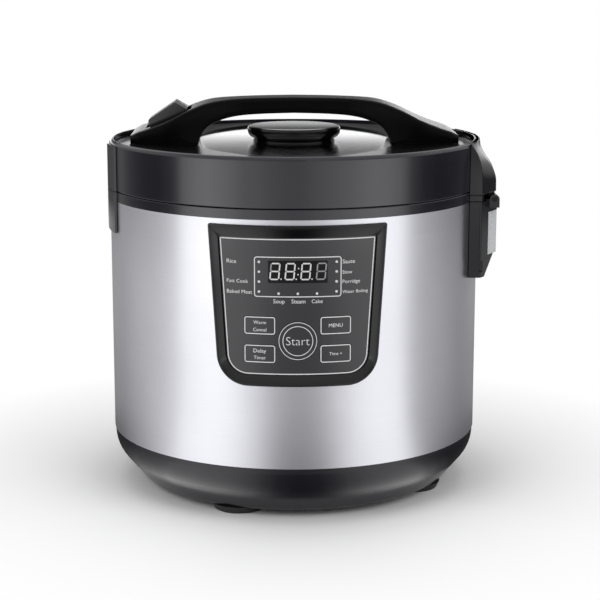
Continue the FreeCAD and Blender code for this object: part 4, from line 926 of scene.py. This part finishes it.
# The tent's brightness by the angle from the front, in degrees, as three zones: low down for
# the steel wall, at the height that the lid band mirrors, and above the lid.
tent_levels = [(-180, 0.3, 0.1, 2.0), (-160, 0.3, 0.1, 2.0), (-143, 0.35, 0.1, 1.6), (-128, 0.42, 0.2, 0.5),
    (-118, 0.47, 0.34, 0.5), (-102, 0.7, 0.2, 0.7), (-90, 0.84, 0.12, 0.84), (-79, 0.98, 0.12, 0.98),
    (-70, 1.18, 0.3, 1.1), (-66, 1.3, 0.7, 1.2), (-62, 1.55, 1.75, 1.3), (-54, 1.66, 2.5, 1.3),
    (-47, 1.72, 2.8, 1.3), (-40, 1.70, 2.5, 1.2), (-33, 1.66, 2.1, 1.1), (-27, 1.5, 1.6, 1.0),
    (-20, 1.25, 1.45, 0.9), (-14, 0.95, 1.2, 0.7), (-8, 0.74, 1.05, 0.6), (-2, 0.66, 0.95, 0.5),
    (4, 0.64, 1.0, 0.5), (10, 0.7, 1.25, 0.6), (16, 0.86, 1.45, 0.7), (22, 1.12, 1.65, 0.9),
    (29, 1.35, 1.9, 1.0), (35, 1.48, 2.2, 1.1), (42, 1.58, 2.4, 1.2), (49, 1.60, 2.25, 1.2),
    (56.5, 1.5, 1.8, 1.2), (60, 1.3, 1.3, 1.1), (64.5, 0.98, 0.5, 0.95), (73, 0.76, 0.15, 0.8),
    (84, 0.66, 0.06, 0.7), (95, 0.54, 0.07, 0.6), (109, 0.4, 0.1, 0.5), (130, 0.4, 0.05, 0.5),
    (143, 0.35, 0.1, 1.6), (160, 0.3, 0.1, 2.0), (180, 0.3, 0.1, 2.0)]
tent_rows = ((0.122, 0.0015), (0.19, 0.0015), (0.235, 0.0015), (0.29, 0.0015), (0.455, 0.0015),
    (0.46, 0.05), (0.46, 0.135), (0.46, 0.155), (0.46, 0.215), (0.46, 0.245), (0.46, 0.285), (0.46, 0.30),
    (0.46, 0.315), (0.46, 0.36), (0.46, 0.42), (0.46, 0.6))
tent = bpy.data.meshes.new("light_tent")
corners, shown = [], []
for angle, low, middle, high in tent_levels:
    rear = abs(angle) > 130
    above = (high, high, 0.6, 0.12, 0.1, 0.6, 0.9) if rear else (high, high, high, high, high, 0.9, 0.9)
    near = 0.1 if rear else max(0.05, (low - 0.62) * 1.45)
    side = 1.2 if abs(angle) > 55 else 1.0
    values = (near, near, near, low * 0.82, low * 0.86, low * side, low * 1.04 * side, middle, middle)
    values += above
    for (r, z), value in zip(tent_rows, values):
        swing = 1.0 - 0.055 * (0.46 - r) / 0.16 * min(1.0, (180 - abs(angle)) / 50)
        a = math.radians(angle * swing)
        corners.append((r * math.sin(a), -r * math.cos(a), z))
        shown.append(value)
rows = len(tent_rows)
tent.from_pydata(corners, [], [(rows * k + j, rows * k + j + 1, rows * k + rows + j + 1, rows * k + rows + j)
    for k in range(len(tent_levels) - 1) for j in range(rows - 1)])
glow = tent.attributes.new("glow", "FLOAT", "POINT")
for k, value in enumerate(shown):
    glow.data[k].value = value
tent_object = bpy.data.objects.new("light_tent", tent)
bpy.context.scene.collection.objects.link(tent_object)
tent_object.visible_camera = False
tent_object.visible_diffuse = False
tent_object.visible_shadow = False
tent_object.visible_transmission = False
cloth = bpy.data.materials.new("lit_cloth")
cloth.use_nodes = True
tree = cloth.node_tree
tree.nodes.clear()
amount = add(tree, "ShaderNodeAttribute", {"attribute_name": "glow"})
lit = add(tree, "ShaderNodeEmission", {"Color": (1, 1, 1, 1)}, {"Strength": (amount, "Fac")})
add(tree, "ShaderNodeOutputMaterial", None, {"Surface": (lit, 0)})
tent.materials.append(cloth)

for name, at, size, power in (("key_left", (-0.9, -0.9, 0.9), 0.9, 5.0),
        ("key_right", (0.9, -0.9, 0.9), 0.9, 5.0), ("top", (0.0, 0.1, 1.5), 1.2, 5.0)):
    lamp = bpy.data.lights.new(name, "AREA")
    lamp.size = size
    lamp.energy = power
    holder = bpy.data.objects.new(name, lamp)
    bpy.context.scene.collection.objects.link(holder)
    holder.location = at
    holder.rotation_euler = (Vector((0, 0, 0.13)) - Vector(at)).to_track_quat("-Z", "Y").to_euler()
    holder.visible_glossy = False

camera = bpy.data.cameras.new("camera")
camera.lens = 103.6
camera.sensor_width = 36.0
camera.shift_x = 0.0102
eye = bpy.data.objects.new("camera", camera)
bpy.context.scene.collection.objects.link(eye)
turn = math.radians(-1.17)
eye.location = (1.2686 * math.sin(turn), -1.2686 * math.cos(turn), 0.3889)
eye.rotation_euler = (math.radians(90 - 11.43), 0, turn)
bpy.context.scene.camera = eye
bpy.context.scene.view_settings.view_transform = "Standard"
